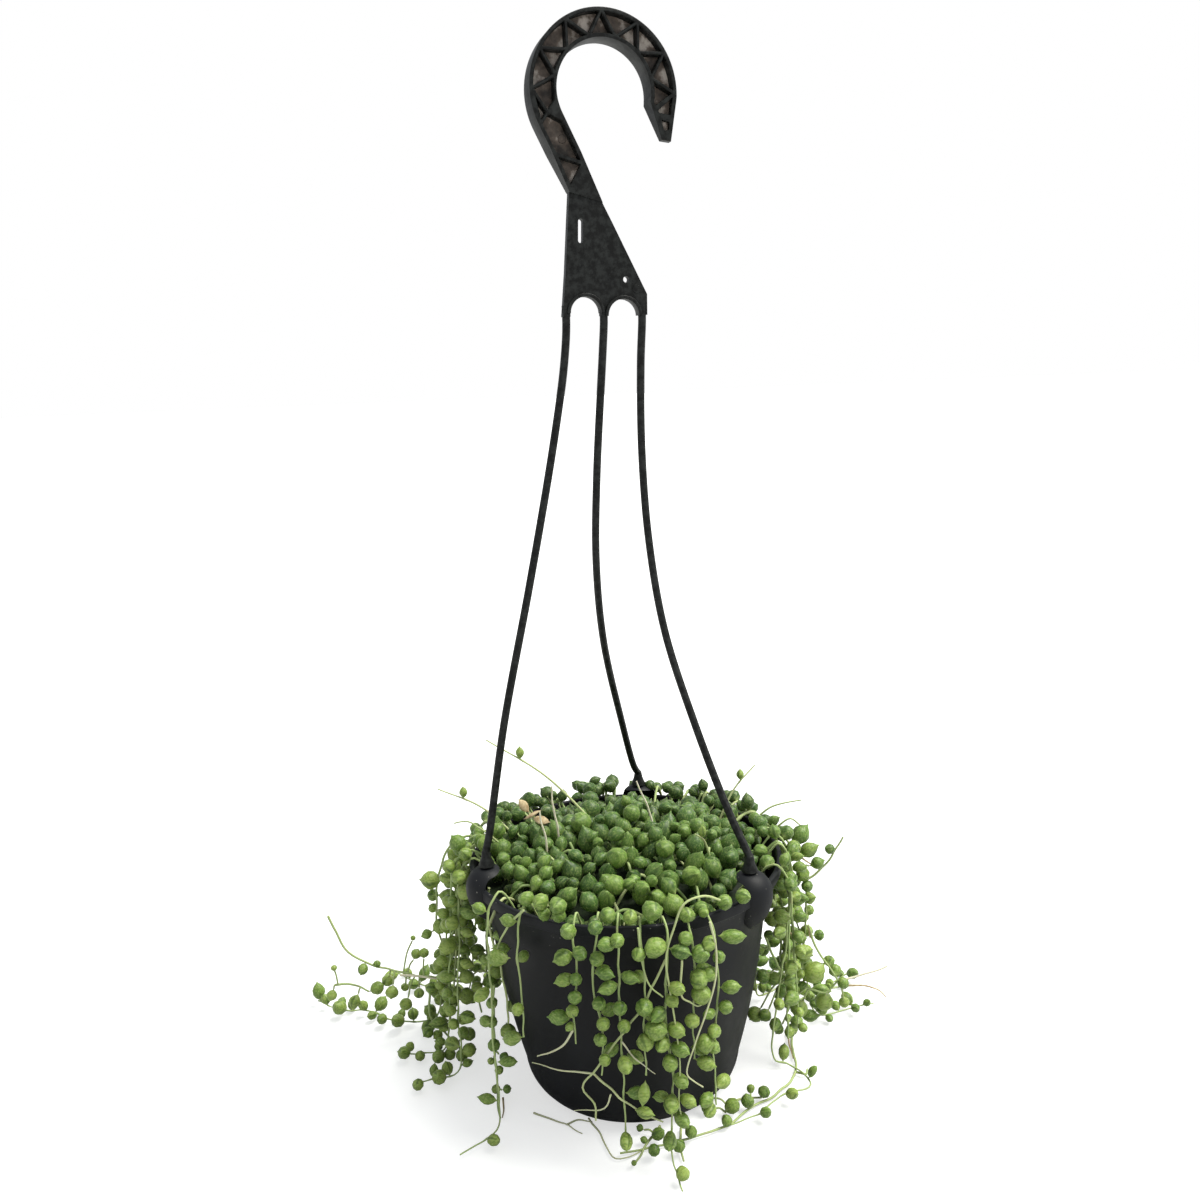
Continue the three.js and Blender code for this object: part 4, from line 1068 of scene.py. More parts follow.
def pearl_tree():
    """Beads on stems. Edges of the fed mesh become round stems as thick as their points say;
    each of its loose points becomes a leaf of its kind, size and aim."""
    tree = bpy.data.node_groups.new("string_of_pearls", "GeometryNodeTree")
    named_input(tree, "Geometry", "NodeSocketGeometry")
    for kind in LEAF_KINDS:
        named_input(tree, leaf_input(kind), "NodeSocketObject")
    named_input(tree, "Stem sides", "NodeSocketInt", 7)
    named_input(tree, "Plumpness", "NodeSocketFloat", 1.0)
    named_input(tree, "Unevenness", "NodeSocketFloat", 0.06)
    named_input(tree, "Seed", "NodeSocketInt", 5)
    named_input(tree, "Leaf material", "NodeSocketMaterial")
    named_input(tree, "Stem material", "NodeSocketMaterial")
    tree.interface.new_socket("Geometry", in_out="OUTPUT", socket_type="NodeSocketGeometry")
    add = partial(add_node, tree)
    given = add("NodeGroupInput").outputs

    own = {name: add("GeometryNodeInputNamedAttribute", data_type=kind, Name=name)
           for name, (kind, _) in POINT_VALUES.items() if name != "tint"}
    parts = add("GeometryNodeSeparateGeometry", Geometry=given["Geometry"], Selection=own["leaf"]).outputs
    lines = add("GeometryNodeMeshToCurve", Mesh=parts["Inverted"])
    profile = add("GeometryNodeCurvePrimitiveCircle", Resolution=given["Stem sides"], Radius=1.0)
    stems = add("GeometryNodeCurveToMesh", Curve=lines, Profile_Curve=profile, Scale=own["thickness"],
                Fill_Caps=True)
    stems = add("GeometryNodeSetShadeSmooth", Geometry=stems)
    stems = add("GeometryNodeRealizeInstances", Geometry=stems)
    stems = add("GeometryNodeSetMaterial", Geometry=stems, Material=given["Stem material"])

    aim = add("FunctionNodeAlignRotationToVector", axis="Z", Vector=own["axis"])
    spin = add("FunctionNodeRandomValue", data_type="FLOAT", Min=0.0, Max=2 * math.pi, Seed=given["Seed"])
    turn = add("FunctionNodeAxisAngleToRotation", Axis=(0, 0, 1), Angle=spin)
    aim = add("FunctionNodeRotateRotation", rotation_space="LOCAL", Rotation=aim, Rotate_By=turn)
    low, high = (add("ShaderNodeMath", operation=sign, _0=given["Plumpness"], _1=given["Unevenness"])
                 for sign in ("SUBTRACT", "ADD"))
    plump = add("FunctionNodeRandomValue", data_type="FLOAT", Min=low, Max=high, Seed=given["Seed"])
    size = add("ShaderNodeVectorMath", operation="SCALE", Vector=own["size"], Scale=plump)
    points = add("GeometryNodeMeshToPoints", Mesh=parts["Selection"], Radius=0.001)
    leaves = add("GeometryNodeJoinGeometry")
    for kind, number in LEAF_KINDS.items():
        shape = add("GeometryNodeObjectInfo", Object=given[leaf_input(kind)]).outputs["Geometry"]
        chosen = add("FunctionNodeCompare", data_type="INT", operation="EQUAL", A=own["kind"], B=number)
        some = add("GeometryNodeInstanceOnPoints", Points=points, Selection=chosen, Instance=shape,
                   Rotation=aim, Scale=size)
        tree.links.new(some.outputs["Instances"], leaves.inputs[0])
    leaves = add("GeometryNodeRealizeInstances", Geometry=leaves)
    leaves = add("GeometryNodeSetMaterial", Geometry=leaves, Material=given["Leaf material"])
    whole = add("GeometryNodeJoinGeometry", Geometry=stems)
    tree.links.new(leaves.outputs["Geometry"], whole.inputs[0])
    add("NodeGroupOutput", Geometry=whole)
    return tree


PEARL_TREE = pearl_tree()
LEAF_SHAPES = {
    leaf_input("round"): unit_leaf("round_leaf", ROUND_LEAF),
    leaf_input("pointed"): unit_leaf("pointed_leaf", POINTED_LEAF),
    leaf_input("folded"): unit_leaf("folded_leaf", FOLDED_LEAF, crease=0.36),
}


class Growth:
    """The stems and leaves of one piece, gathered as points and edges that feed the tree."""

    def __init__(self):
        self.points, self.edges = [], []
        self.values = {name: [] for name in POINT_VALUES}

    def _point(self, place, **given):
        """Adds a point with the attributes given, and the rest as a bare stem has them."""
        self.points.append(place)
        bare = {"leaf": False, "kind": 0, "axis": (0, 0, 1), "size": (0, 0, 0), "tint": 0.0, "thickness": 0.0}
        for name, value in {**bare, **given}.items():
            self.values[name].append(value)

    def stem(self, places, thickness, tint=0.0, tip=1.0, knots=()):
        """A stem along places, thinned to tip times its thickness, with a knot at each leaf."""
        start, count = len(self.points), len(places)
        swell = np.ones(count)
        for knot in knots:
            nearest = np.linalg.norm(np.array(places) - knot, axis=1).argmin()
            swell[nearest] = 1.35
        for i, place in enumerate(places):
            width = thickness * mix(1, tip, i / max(1, count - 1)) * swell[i]
            self._point(place, thickness=width * MM, tint=tint)
        self.edges += [(start + i, start + i + 1) for i in range(count - 1)]

    def leaf(self, root, centre, radius, kind="round", tint=0.4, flat=1.0):
        """A leaf whose stalk starts on the stem at root; flat is its thickness next to its width."""
        away = np.array(centre) - np.array(root)
        reach = np.linalg.norm(away)
        long = min(max(reach / -STALK_END, 0.85 * radius), 1.3 * radius)
        self._point(centre, leaf=True, kind=LEAF_KINDS[kind], axis=away / reach,
                    size=(radius * MM, flat * radius * MM, long * MM), tint=tint)

    def take(self, other):
        """Adds another growth's points and edges to this one."""
        start = len(self.points)
        self.points += other.points
        self.edges += [(a + start, b + start) for a, b in other.edges]
        for key in self.values:
            self.values[key] += other.values[key]

    def made(self, name, sides=7, leaf=None, stem=None, seed=5):
        """Feeds the tree and returns its result as a plain mesh object."""
        mesh = mesh_of(name, self.points, [], self.edges)
        for key, (kind, number) in POINT_VALUES.items():
            layer = mesh.attributes.new(key, kind, "POINT")
            layer.data.foreach_set("vector" if kind == "FLOAT_VECTOR" else "value",
                                   np.array(self.values[key], number).ravel())
        thing = new_object(name, mesh)
        modifier = thing.modifiers.new("pearls", "NODES")
        modifier.node_group = PEARL_TREE
        wanted = {**LEAF_SHAPES, "Stem sides": sides, "Seed": seed, "Leaf material": leaf,
                  "Stem material": stem}
        for item in PEARL_TREE.interface.items_tree:
            if item.in_out == "INPUT" and wanted.get(item.name) is not None:
                modifier[item.identifier] = wanted[item.name]
        return evaluated(thing)

    def finish(self, name, seed, *nodes, leaf=None, stem=None):
        """Makes the piece and hands it over."""
        thing = self.made(name, leaf=leaf or PEARL_LEAF, stem=stem or PEARL_STEM, seed=seed)
        hand_over(thing, "pearl_leaf", *nodes)


# ---- soil ----
def make_soil():
    """Peat filled to just under the shoulder, with a crumbly, uneven top."""
    side = [(r, z) for r, z in wall_outline(POT_WALL + GAP, 8, 10) if z < SOIL_TOP - 1]
    rise = SHOULDER_TOP[1] - WALL_TOP[1]
    edge = side[-1][0] + 0.9 * (SOIL_TOP - side[-1][1]) * (SHOULDER_TOP[0] - WALL_TOP[0]) / rise
    top = [(edge - 0.4, SOIL_TOP - 0.8)]
    top += [(edge * share, SOIL_TOP) for share in np.linspace(0.97, 0.02, 34)]
    soil = turned("soil_peat", [(0, POT_WALL + GAP + 0.2), *side, *top, (0, SOIL_TOP)], 120)
    for vertex in soil.data.vertices:
        place = vertex.co / MM
        if place.z > SOIL_TOP - 0.5:
            vertex.co.z += (0.9 * noise.noise(place / 5) + 0.6 * noise.noise(place / 1.9)) * MM
    soil.data.update()
    growth = Growth()
    draw = seeded_draw(311)
    for _ in range(SOIL_CRUMBS):
        place = polar(draw(0, 360), edge * math.sqrt(draw(0.3, 0.97)))
        size = draw(0.5, 1.7)
        centre = place + [draw(-1, 1), draw(-1, 1), SOIL_TOP + 0.3]
        growth.leaf(place + [0, 0, SOIL_TOP - 1], centre, size)
    crumbs = growth.made("crumbs", leaf=POTTING_SOIL)
    join_meshes(soil, crumbs)
    dress(soften(soil, 40), "potting_soil", POTTING_SOIL, "soil")


# ---- trailing strings ----
FRONT = range(145, 225)          # azimuths of the strings that hang apart at the front
SPARSE = (97, 231)               # azimuths of strings with few leaves
# A leaf's size next to its imported solid: on most strings, in the crown, on a sparse string, and at the
# front, where the listed leaves are the main ones.
SLIMMER, CROWN_SLIMMER, SPARSE_SLIMMER, FRONT_SLIMMER = 0.8, 0.9, 0.62, 0.66
FINE_STEM = 0.62
FRONT_LEAF_RING = HANG_RING + 3.5
# Leaves of the front strings: azimuth, height, radius, and kind where it isn't drawn.
FRONT_LEAVES = [
    (224, 103, 3.9), (198, 126, 3.6), (200, 113, 3.8), (195, 116, 3.3), (200, 102, 3.0), (196.5, 103, 3.2),
    (197, 94, 3.4), (198, 87, 3.1), (199, 79, 2.2), (190, 129, 3.4), (190, 114, 3.3), (188, 107, 3.2),
    (187, 100, 3.3), (190, 92, 3.4), (189, 82, 3.2), (190, 74, 3.1), (189, 64, 2.8), (184, 123, 3.5),
    (187, 121, 3.3), (181, 105, 3.4), (184, 90, 3.3), (183, 81, 3.2), (178, 47, 3.0), (178, 37, 3.1),
    (178, 116, 3.5), (173, 118, 5.4, "folded"), (177, 90, 4.2), (173, 86, 3.7), (174, 79, 5.2, "folded"),
    (177, 73, 4.3), (172, 71, 3.6), (170, 61, 3.8), (169, 92, 3.4), (168, 77, 3.6), (167, 67, 3.5),
    (167, 51, 3.3), (170, 40, 3.6), (165, 40, 3.3), (167, 31, 3.5), (166, 115, 3.7),
    (160, 112, 4.8, "pointed"), (163, 80, 3.7), (161, 100, 5.2, "folded"), (160, 92, 5.0, "folded"),
    (157, 116, 3.2), (154, 108, 3.0), (157, 101, 3.1), (149, 116, 3.6, "folded"), (150, 91, 3.2),
    (152, 82, 3.3), (156, 72, 3.6), (159, 67, 4.5), (156, 64, 3.4), (159, 57, 3.4), (159, 38, 3.1),
    (158, 32, 3.0),
]
APART = 0.85                     # how near a packed leaf may be to one of those, in their radii
# More leaves between a string's own: their spacing, their sizes, and how far they may press into
# their neighbours, as a gap below nothing.
FILL = {"spacing": 8.6, "sizes": (3.0, 4.7), "squeeze": -0.3}
BUNCH_FILL = {"spacing": 8.8, "sizes": (3.0, 4.8), "squeeze": -0.8}
LEAF_OWNER = 1000                # leaves are booked under their string's number plus this
CROWN_OWNER = -7
SWINGS = 12                      # places round a stem that are tried for each leaf
ROOM = Room()


def clear_swing(owner, point, along, radius, start, squeeze):
    """Swings a leaf round its stem until it is clear; returns its centre, or None."""
    sideways, upright = leaf_frame(point, along)
    for swing in range(SWINGS):
        angle = math.radians(start + 360 / SWINGS * swing)
        away = unit(sideways * math.cos(angle) + upright * math.sin(angle) + along * 0.35)
        centre = point + away * (radius + STALK)
        tip = centre + away * 1.1 * radius
        if not clear_of_pot(centre, radius) or not clear_of_pot(tip, 0.3 * radius):
            continue
        if ROOM.gap(centre, radius, (owner,)) < squeeze:
            continue
        if ROOM.gap(tip, 0.3 * radius, (owner, LEAF_OWNER + owner)) < squeeze:
            continue
        return centre
    return None


def rooted_inside(point):
    """Whether a place on a stem is still down in the soil or among the crown's leaves."""
    return point[2] < SOIL_TOP + 12 and math.hypot(point[0], point[1]) < INNER_RING + 4


def place_leaves(owner, draw, steps, sizes, turns, squeeze):
    """Leaves round a stem at a golden angle, where they are clear. Steps are places along it, each
    with its direction and its share of the leaves' full size."""
    leaves = []
    for count, (point, along, share) in enumerate(steps):
        radius = draw(*sizes) * share
        start = draw(-turns, turns) + count * GOLDEN_ANGLE
        if rooted_inside(point):
            continue
        centre = clear_swing(owner, point, along, radius, start, squeeze)
        if centre is not None:
            ROOM.add(centre, radius, LEAF_OWNER + owner)
            leaves.append((centre, radius))
    return leaves


def book_stem(path, owner):
    for place, _ in spaced_along(coarse_steps(path), STEM_BALLS):
        ROOM.add(place, STEM_RADIUS + 0.4, owner)


def book_leaves(path, owner, draw):
    """The part's own leaves of a string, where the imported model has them."""
    steps = [(point, along, 1) for point, along in spaced_along(coarse_steps(path), LEAF_SPACING)]
    return place_leaves(owner, draw, steps, (LEAF_SMALL, LEAF_LARGE), 30, GAP + 0.1)


def fill_in(path, owner, draw, spacing, sizes, squeeze):
    """More leaves between a string's own, as close as they come on the plant, smaller to the tip."""
    steps = [(point, along, mix(1, 0.7, count * spacing / path.length)) for count, (point, along)
             in enumerate(spaced_along(fine_places(path, 1.0), spacing, draw(0.2, 0.9)))]
    return place_leaves(owner, draw, steps, sizes, 40, squeeze)


def fine_places(path, step=2.2):
    """Close places along a stem, with the small crooks that a grown stem has once it is clear of
    its root."""
    crook, length, clear = 0.9, 9, 12
    places = path.spaced(max(12, int(path.length / step)))
    eased = np.minimum(1, np.arange(len(places)) * step / clear)[:, None]
    return places + eased * np.array([noise.noise_vector(Vector(place) / length) for place in places]) * crook


def shade_of(place, draw):
    """How dark a leaf is, which paints light and shade into its tint: lightest at the sides, the left one
    most, at the front and low down, and darkest on top and behind."""
    front = 0.5 - 0.5 * place[1] / 90
    low = ramp(POT_HEIGHT + 4 - place[2], 0, 50)
    # Painted light on the sides, more on the left, which lies in the key light's shadow; painted shade on top
    # at the back.
    aside = ramp(abs(place[0]), 62, 86) * (0.5 if place[0] < 0 else 0.26)
    behind = 0.34 * (1 - low) * ramp(place[1], 15, 50)
    return min(1.3, max(0, 1.07 - 0.5 * front - 0.3 * low - aside + behind + draw(-0.27, 0.27)))


def any_kind(draw):
    """Six leaves in ten are round, and one in eight is folded."""
    pick = draw(0, 1)
    return "round" if pick < 0.62 else "pointed" if pick < 0.87 else "folded"


def crown_kind(draw, centre):
    """Like any_kind, with more round leaves at the back of the crown than at its front."""
    pick = draw(0, 1) + 0.22 * (centre[1] > 5)
    return "folded" if pick < 0.32 else "pointed" if pick < 0.5 else "round"


def nearest_on(places, centre):
    return places[np.linalg.norm(places - centre, axis=1).argmin()]


def string_growth(path, leaves, draw, thickness=STEM_RADIUS, stem_tint=0.2, tip=0.6):
    """A string's stem with its leaves, each given as centre, radius and maybe kind."""
    growth = Growth()
    places = fine_places(path)
    roots = []
    for centre, radius, *kind in leaves:
        root = nearest_on(places, centre)
        roots.append(root)
        growth.leaf(root, centre, radius, kind[0] if kind else any_kind(draw), shade_of(centre, draw))
    growth.stem(places, thickness, stem_tint, tip, roots)
    return growth


def book_packed():
    """The trailing stems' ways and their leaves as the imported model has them."""
    route_draw, leaf_draw = seeded_draw(77), seeded_draw(4127)
    paths = [string_path(row, route_draw) for row in STRINGS]
    for owner, path in enumerate(paths):
        book_stem(path, owner)
    return paths, [book_leaves(path, owner, leaf_draw) for owner, path in enumerate(paths)]


def front_leaves(paths):
    """The listed leaves of each front string, by its number: each goes to the nearest one."""
    fronts = [owner for owner, row in enumerate(STRINGS) if int(row[0]) in FRONT]
    placed = {owner: [] for owner in fronts}
    for azimuth, z, *rest in FRONT_LEAVES:
        centre = polar(azimuth, FRONT_LEAF_RING, z)
        gaps = [np.linalg.norm(fine_places(paths[owner]) - centre, axis=1).min() for owner in fronts]
        placed[fronts[int(np.argmin(gaps))]].append((centre, *rest))
    return placed


def make_strings(paths, packed):
    draw = seeded_draw(5003)
    by_hand = front_leaves(paths)
    for owner, path in enumerate(paths):
        if owner in by_hand:
            leaves = list(by_hand[owner])
            for centre, radius in packed[owner]:
                radius = FRONT_SLIMMER * radius
                if all(np.linalg.norm(centre - other[0]) > APART * (radius + other[1]) for other in leaves):
                    leaves.append((centre, radius))
            for centre, radius, *_ in by_hand[owner]:
                ROOM.add(centre, radius, LEAF_OWNER + owner)
        elif int(STRINGS[owner][0]) in SPARSE:
            leaves = [(centre, SPARSE_SLIMMER * radius) for centre, radius in packed[owner]]
        else:
            leaves = [(centre, SLIMMER * radius) for centre, radius in packed[owner]]
            leaves += fill_in(path, owner, draw, **FILL)
        name = f"string_{owner + 1:02d}"
        string_growth(path, leaves, draw, FINE_STEM).finish(name + "_fine", owner, name)


# Growth at given places. Each group has a depth in y, maybe the azimuth of its root inside the rim, stems
# through pixels of the photograph, and leaves as pixel, pixel, radius in pixels and maybe a kind. What would
# lie lower than the floor rests on it.
OVER_RIM = [(66, 112), (77, 127.5)]          # ring and height of the start of a rooted stem
SIGHT_STEM, OFFSHOOT = 0.72, 0.5             # thickness of a stem, and of a short one to a leaf
FAR_LEAF = 1.6                               # from this many radii off, a leaf has such a short stem
LEFT_GROWTH = [
    {"depth": 18, "root": 286, "stems": [
        [(478, 836), (462, 838), (448, 850), (440, 870), (436, 897), (438, 926), (444, 956), (446, 988)]],
     "leaves": [(450, 854, 8, "pointed"), (431, 880, 10.5, "pointed"), (433, 895, 6.4), (433, 908, 5),
                (448, 896, 8), (440, 926, 7.6), (427, 934, 5.4), (450, 963, 7), (445, 990, 7.6),
                (432, 988, 6.4), (457, 915, 6.5), (452, 941, 6)]},
    {"depth": 4, "root": 268, "stems": [
        [(480, 856), (468, 872), (463, 905), (466, 945), (474, 985), (482, 1012)]],
     "leaves": [(474, 890, 7), (458, 882, 6.5), (467, 925, 7), (476, 950, 6), (467, 996, 8.6),
                (477, 987, 6.4), (490, 982, 8), (497, 971, 8), (463, 968, 5.5)]},
    {"depth": -26, "stems": [
        [(489, 888), (486, 905), (491, 935), (500, 965), (507, 1000), (508, 1034)],
        [(494, 985), (493, 1015), (495, 1050), (497, 1085), (500, 1119)]],
     "leaves": [(508, 952, 8.9), (512, 1006, 7), (508, 1031, 8), (492, 1022, 5.7), (492, 1003, 6.4),
                (494, 1045, 6.4), (504, 1057, 5.4), (499, 1070, 4.8), (491, 1061, 3.8), (496, 1089, 4.8),
                (507, 1089, 4.5), (486, 960, 6), (499, 935, 5.5)]},
    {"depth": 34, "stems": [
        [(328, 916), (339, 939), (352, 955), (371, 964), (396, 971), (431, 977), (466, 982)],
        [(335, 985), (349, 984), (369, 992)]],
     "leaves": [(413, 938, 2.9), (416, 954, 5.4), (424, 953, 5.1), (377, 964, 4.1), (363, 969, 5.1),
                (388, 980, 7), (377, 988, 6.4), (392, 992, 6.4), (405, 987, 4.5), (406, 1004, 6.4),
                (419, 993, 5.7), (332, 995, 5.4), (355, 1001, 6.4), (334, 968, 3.2)]},
    {"depth": 20, "stems": [[(430, 992), (431, 1018), (447, 1034), (460, 1049)]],
     "leaves": [(428, 1032, 6), (438, 1035, 5.7), (450, 1054, 6.4), (462, 1055, 7), (469, 1034, 7)]},
]
RIGHT_GROWTH = [
    {"depth": 22, "root": 76, "stems": [
        [(768, 828), (780, 832), (791, 845), (800, 862), (805, 890), (806, 915), (804, 940), (802, 960),
         (804, 980)],
        [(768, 856), (781, 856), (788, 878), (790, 905), (787, 935), (786, 962)]],
     "leaves": [(780, 827, 8.1), (800, 835, 10.2, "pointed"), (808, 850, 8.4, "pointed"),
                (817, 863, 6.9, "pointed"), (773, 873, 9.7), (802, 874, 7.6), (807, 886, 6.4),
                (809, 898, 6.9), (809, 910, 5.1), (784, 891, 7.6), (790, 906, 7.1), (800, 924, 7.1),
                (772, 919, 7.6), (769, 935, 5.6), (819, 935, 5.9), (825, 943, 6.9), (802, 956, 8.1)]},
    {"depth": 6, "stems": [
        [(766, 938), (773, 956), (781, 971), (801, 984), (816, 991), (826, 992), (837, 981)],
        [(808, 925), (818, 950), (830, 968), (840, 985)]],
     "leaves": [(760, 950, 4.6), (829, 961, 6.1), (835, 971, 6.9), (843, 983, 6.1), (844, 1002, 5.6),
                (814, 972, 10.2), (774, 978, 7.1), (763, 976, 7.1), (792, 992, 8.9), (799, 1008, 9.7),
                (824, 1001, 10.2), (802, 1022, 8.4), (817, 1022, 6.9), (755, 1014, 8.1), (765, 1015, 6.6),
                (779, 1029, 5.6)]},
    {"depth": 40, "stems": [[(806, 880), (816, 874), (828, 861), (843, 837)]],
     "leaves": [(830, 849, 6, "pointed")]},
]
FLOOR_GROWTH = [                 # its depth is beyond the floor's, so that all of it lies on the floor
    {"depth": 200, "stems": [
        [(791, 1031), (793, 1052), (796, 1072), (778, 1093), (753, 1106), (727, 1126), (686, 1139),
         (645, 1149), (620, 1153)],
        [(796, 1072), (806, 1075), (808, 1070)], [(725, 1112), (738, 1100), (762, 1097)],
        [(681, 1128), (680, 1145), (683, 1160)], [(660, 1126), (650, 1140), (634, 1163)]],
     "leaves": [(732, 1106, 7.7), (748, 1101, 7.2), (764, 1092, 6.6), (751, 1089, 4.6), (726, 1121, 6.1),
                (707, 1107, 6.1), (706, 1094, 6.6), (658, 1134, 6.6), (654, 1150, 6.1), (640, 1128, 4),
                (644, 1140, 3.6), (691, 1132, 7.2, "pointed"), (679, 1146, 7.2, "pointed"),
                (634, 1163, 3, "pointed")]},
]
SIGHT_GROWTH = {"left_runners": LEFT_GROWTH, "right_runners": RIGHT_GROWTH, "floor_runners": FLOOR_GROWTH}


def place_by_sight(groups, draw, owner):
    """Stems and leaves where the photograph shows them, hung from the rim or from each other."""
    growth = Growth()
    for group in groups:
        nodes = []
        for spots in group["stems"]:
            way = [seen_at(spot, group["depth"])[0] for spot in spots]
            if "root" in group:
                way = [polar(group["root"], ring, z) for ring, z in OVER_RIM] + way
            places = fine_places(Path(way))
            growth.stem(places, SIGHT_STEM, draw(0.1, 0.45), 0.7)
            nodes.append(places)
        nodes = np.vstack(nodes)
        for across, down, size, *kind in group["leaves"]:
            centre, radius = seen_at((across, down), group["depth"] + draw(-4, 4), size)
            if ROOM.gap(centre, 0.55 * radius, range(len(STRINGS))) < 0:
                continue
            root = nearest_on(nodes, centre)
            away = centre - root
            reach = np.linalg.norm(away)
            if reach > FAR_LEAF * radius:
                end = centre - away / reach * 1.2 * radius
                middle = mix(root, end, 0.5) + [0, 0, 0.15 * reach]
                growth.stem(Path([root, middle, end]).spaced(8), OFFSHOOT, 0.3)
                root = end
            growth.leaf(root, centre, radius, kind[0] if kind else any_kind(draw), shade_of(centre, draw))
            ROOM.add(centre, radius, owner)
    return growth


def make_growth_by_sight():
    draw = seeded_draw(31013)
    for number, (name, groups) in enumerate(SIGHT_GROWTH.items()):
        place_by_sight(groups, draw, 2 * LEAF_OWNER + number).finish(name, 80 + number)


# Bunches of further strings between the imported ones: azimuths, how many, and the rings that they
# hang on. Their lean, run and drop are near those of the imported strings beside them.
BUNCHES = {
    "left_bunch": {"from": 262, "to": 338, "count": 9, "rings": (84, 90)},
    "right_bunch": {"from": 40, "to": 96, "count": 6, "rings": (84, 89)},
    "back_bunch": {"from": 340, "to": 402, "count": 8, "rings": (84, 91)},
}


def reach_at(azimuth):
    """Drop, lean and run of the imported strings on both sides, mixed for a place between them."""
    rows = sorted(STRINGS)
    rows = [(rows[-1][0] - 360, *rows[-1][1:]), *rows, (rows[0][0] + 360, *rows[0][1:])]
    for low, high in zip(rows, rows[1:]):
        if low[0] <= azimuth % 360 <= high[0]:
            share = (azimuth % 360 - low[0]) / (high[0] - low[0])
            return tuple(mix(a, b, share) for a, b in zip(low[1:4], high[1:4]))
    return 60, 0, 0


def make_bunches():
    draw = seeded_draw(60013)
    owner = len(STRINGS)
    for name, bunch in BUNCHES.items():
        growth = Growth()
        for i in range(bunch["count"]):
            at = mix(bunch["from"], bunch["to"], (i + draw(0.1, 0.9)) / bunch["count"])
            drop, lean, run = reach_at(at)
            ring = draw(*bunch["rings"])
            outside = ring - HANG_RING
            length = draw(0.45, 1.0)
            drop = min(FULL_DROP, drop * (0.35 + 0.65 * length) + draw(-6, 10))
            lean = lean * draw(0.2, 0.8)
            run = max(0, run * draw(0.3, 0.95) - outside) if drop > FULL_DROP - 6 else 0
            row = (at, drop, lean, run, draw(-10, 10))
            path = string_path(row, draw, ring, draw(58, 72), 0.5 * max(0, outside))
            leaves = fill_in(path, owner, draw, **BUNCH_FILL)
            growth.take(string_growth(path, leaves, draw, STEM_RADIUS * draw(0.75, 1.05), draw(0.05, 0.5)))
            owner += 1
        growth.finish(name, owner)


# ---- mat ----
def mat_height(ring):
    return mix(MAT["crown"], MAT["edge"], (ring / MAT["radius"]) ** 2)


def crown_reach(azimuth):
    """How far out the crown's leaves reach: to the rim in front, less far beside the lugs."""
    if any(abs((azimuth - lug + 180) % 360 - 180) < LUG_SIDE["within"] for lug in LUG_AZIMUTHS):
        return LUG_SIDE["reach"]
    return next(reach for until, reach in CROWN_REACHES if azimuth <= until)


def packed_crown(growth, draw, shade):
    """The crown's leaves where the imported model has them; returns their centres and radii."""
    centres, radii = [], []
    for i in range(MAT["leaves"]):
        distance = MAT["radius"] * math.sqrt((i + 0.5) / MAT["leaves"])
        packed_radius = draw(LEAF_SMALL + 0.8, LEAF_LARGE + 0.9)
        foot = polar(i * GOLDEN_ANGLE, distance - 1, mat_height(distance) - MAT_SINK)
        slope = unit(polar(i * GOLDEN_ANGLE + draw(-60, 60), draw(0.1, 0.8), 1))
        centre = foot + slope * (packed_radius + draw(2, 4))
        radius = CROWN_SLIMMER * packed_radius
        kind = crown_kind(shade, centre)
        growth.leaf(foot, centre, radius, kind, shade_of(centre, shade) + shade(0, 0.3))
        centres.append(centre)
        radii.append(radius)
    return np.array(centres), np.array(radii)


def crowd_crown(growth, centres, radii, shade):
    """Drops many more leaves between those of the crown. Each rests on what lies under it, and one
    that would stand too high is left out, so that the top stays uneven, as it grows."""
    rim = RIM_RADIUS - RIM_LIP - 1.5
    for _ in range(CROWD["tries"]):
        ring = CROWD["ring"] * math.sqrt(shade(0, 1))
        azimuth = shade(0, 360)
        radius = CROWD["small"] + CROWD["larger"] * shade(0, 1) ** 1.6     # more of the small ones
        if ring > crown_reach(azimuth):
            continue
        flat = polar(azimuth, ring)
        across = np.hypot(centres[:, 0] - flat[0], centres[:, 1] - flat[1])
        touch = CROWD["pressed"] * (radii + radius)
        under = across < touch
        ground = mat_height(min(ring, CROWD["flat"]))
        lift = np.sqrt(np.maximum(touch ** 2 - across ** 2, 0)) + centres[:, 2]
        base = ground + 0.1 * radius
        rest = max(base, lift[under].max()) if under.any() else base
        if ring + radius > rim:
            rest = max(rest, POT_HEIGHT + 0.8 * radius)
        above = rest - ground
        if above > CROWD["height"] + CROWD["uneven"] * noise.noise(Vector(flat) / 12):
            continue
        centre = flat + [0, 0, rest]
        lean = unit(np.array([shade(-1.7, 1.7), shade(-1.9, 1.4), 1.0]))
        root = centre - lean * (radius + STALK)
        # Leaves lying low between the others get painted shade, darker the deeper they lie.
        painted_gap_shade = min(0.9, max(0, (CROWD["height"] - above) / 9))
        tint = shade_of(centre, shade) + painted_gap_shade
        growth.leaf(root, centre, radius, crown_kind(shade, centre), tint)
        centres = np.vstack([centres, centre])
        radii = np.append(radii, radius)
    return centres, radii


def crown_stems(growth, draw):
    """Stems that arch through the crown between its leaves."""
    for _ in range(CROWN_STEMS):
        azimuth, ring = draw(0, 360), 62 * math.sqrt(draw(0, 1))
        start = polar(azimuth, ring, mat_height(ring) - 3)
        end = start + polar(draw(0, 360), draw(12, 30))
        end_ring = min(CROWD["flat"], math.hypot(end[0], end[1]))
        end[2] = mat_height(end_ring) - 2
        middle = mix(start, end, 0.5) + [0, 0, draw(6, 11)]
        growth.stem(Path([start, middle, end]).spaced(14), 0.75, draw(0, 0.5))


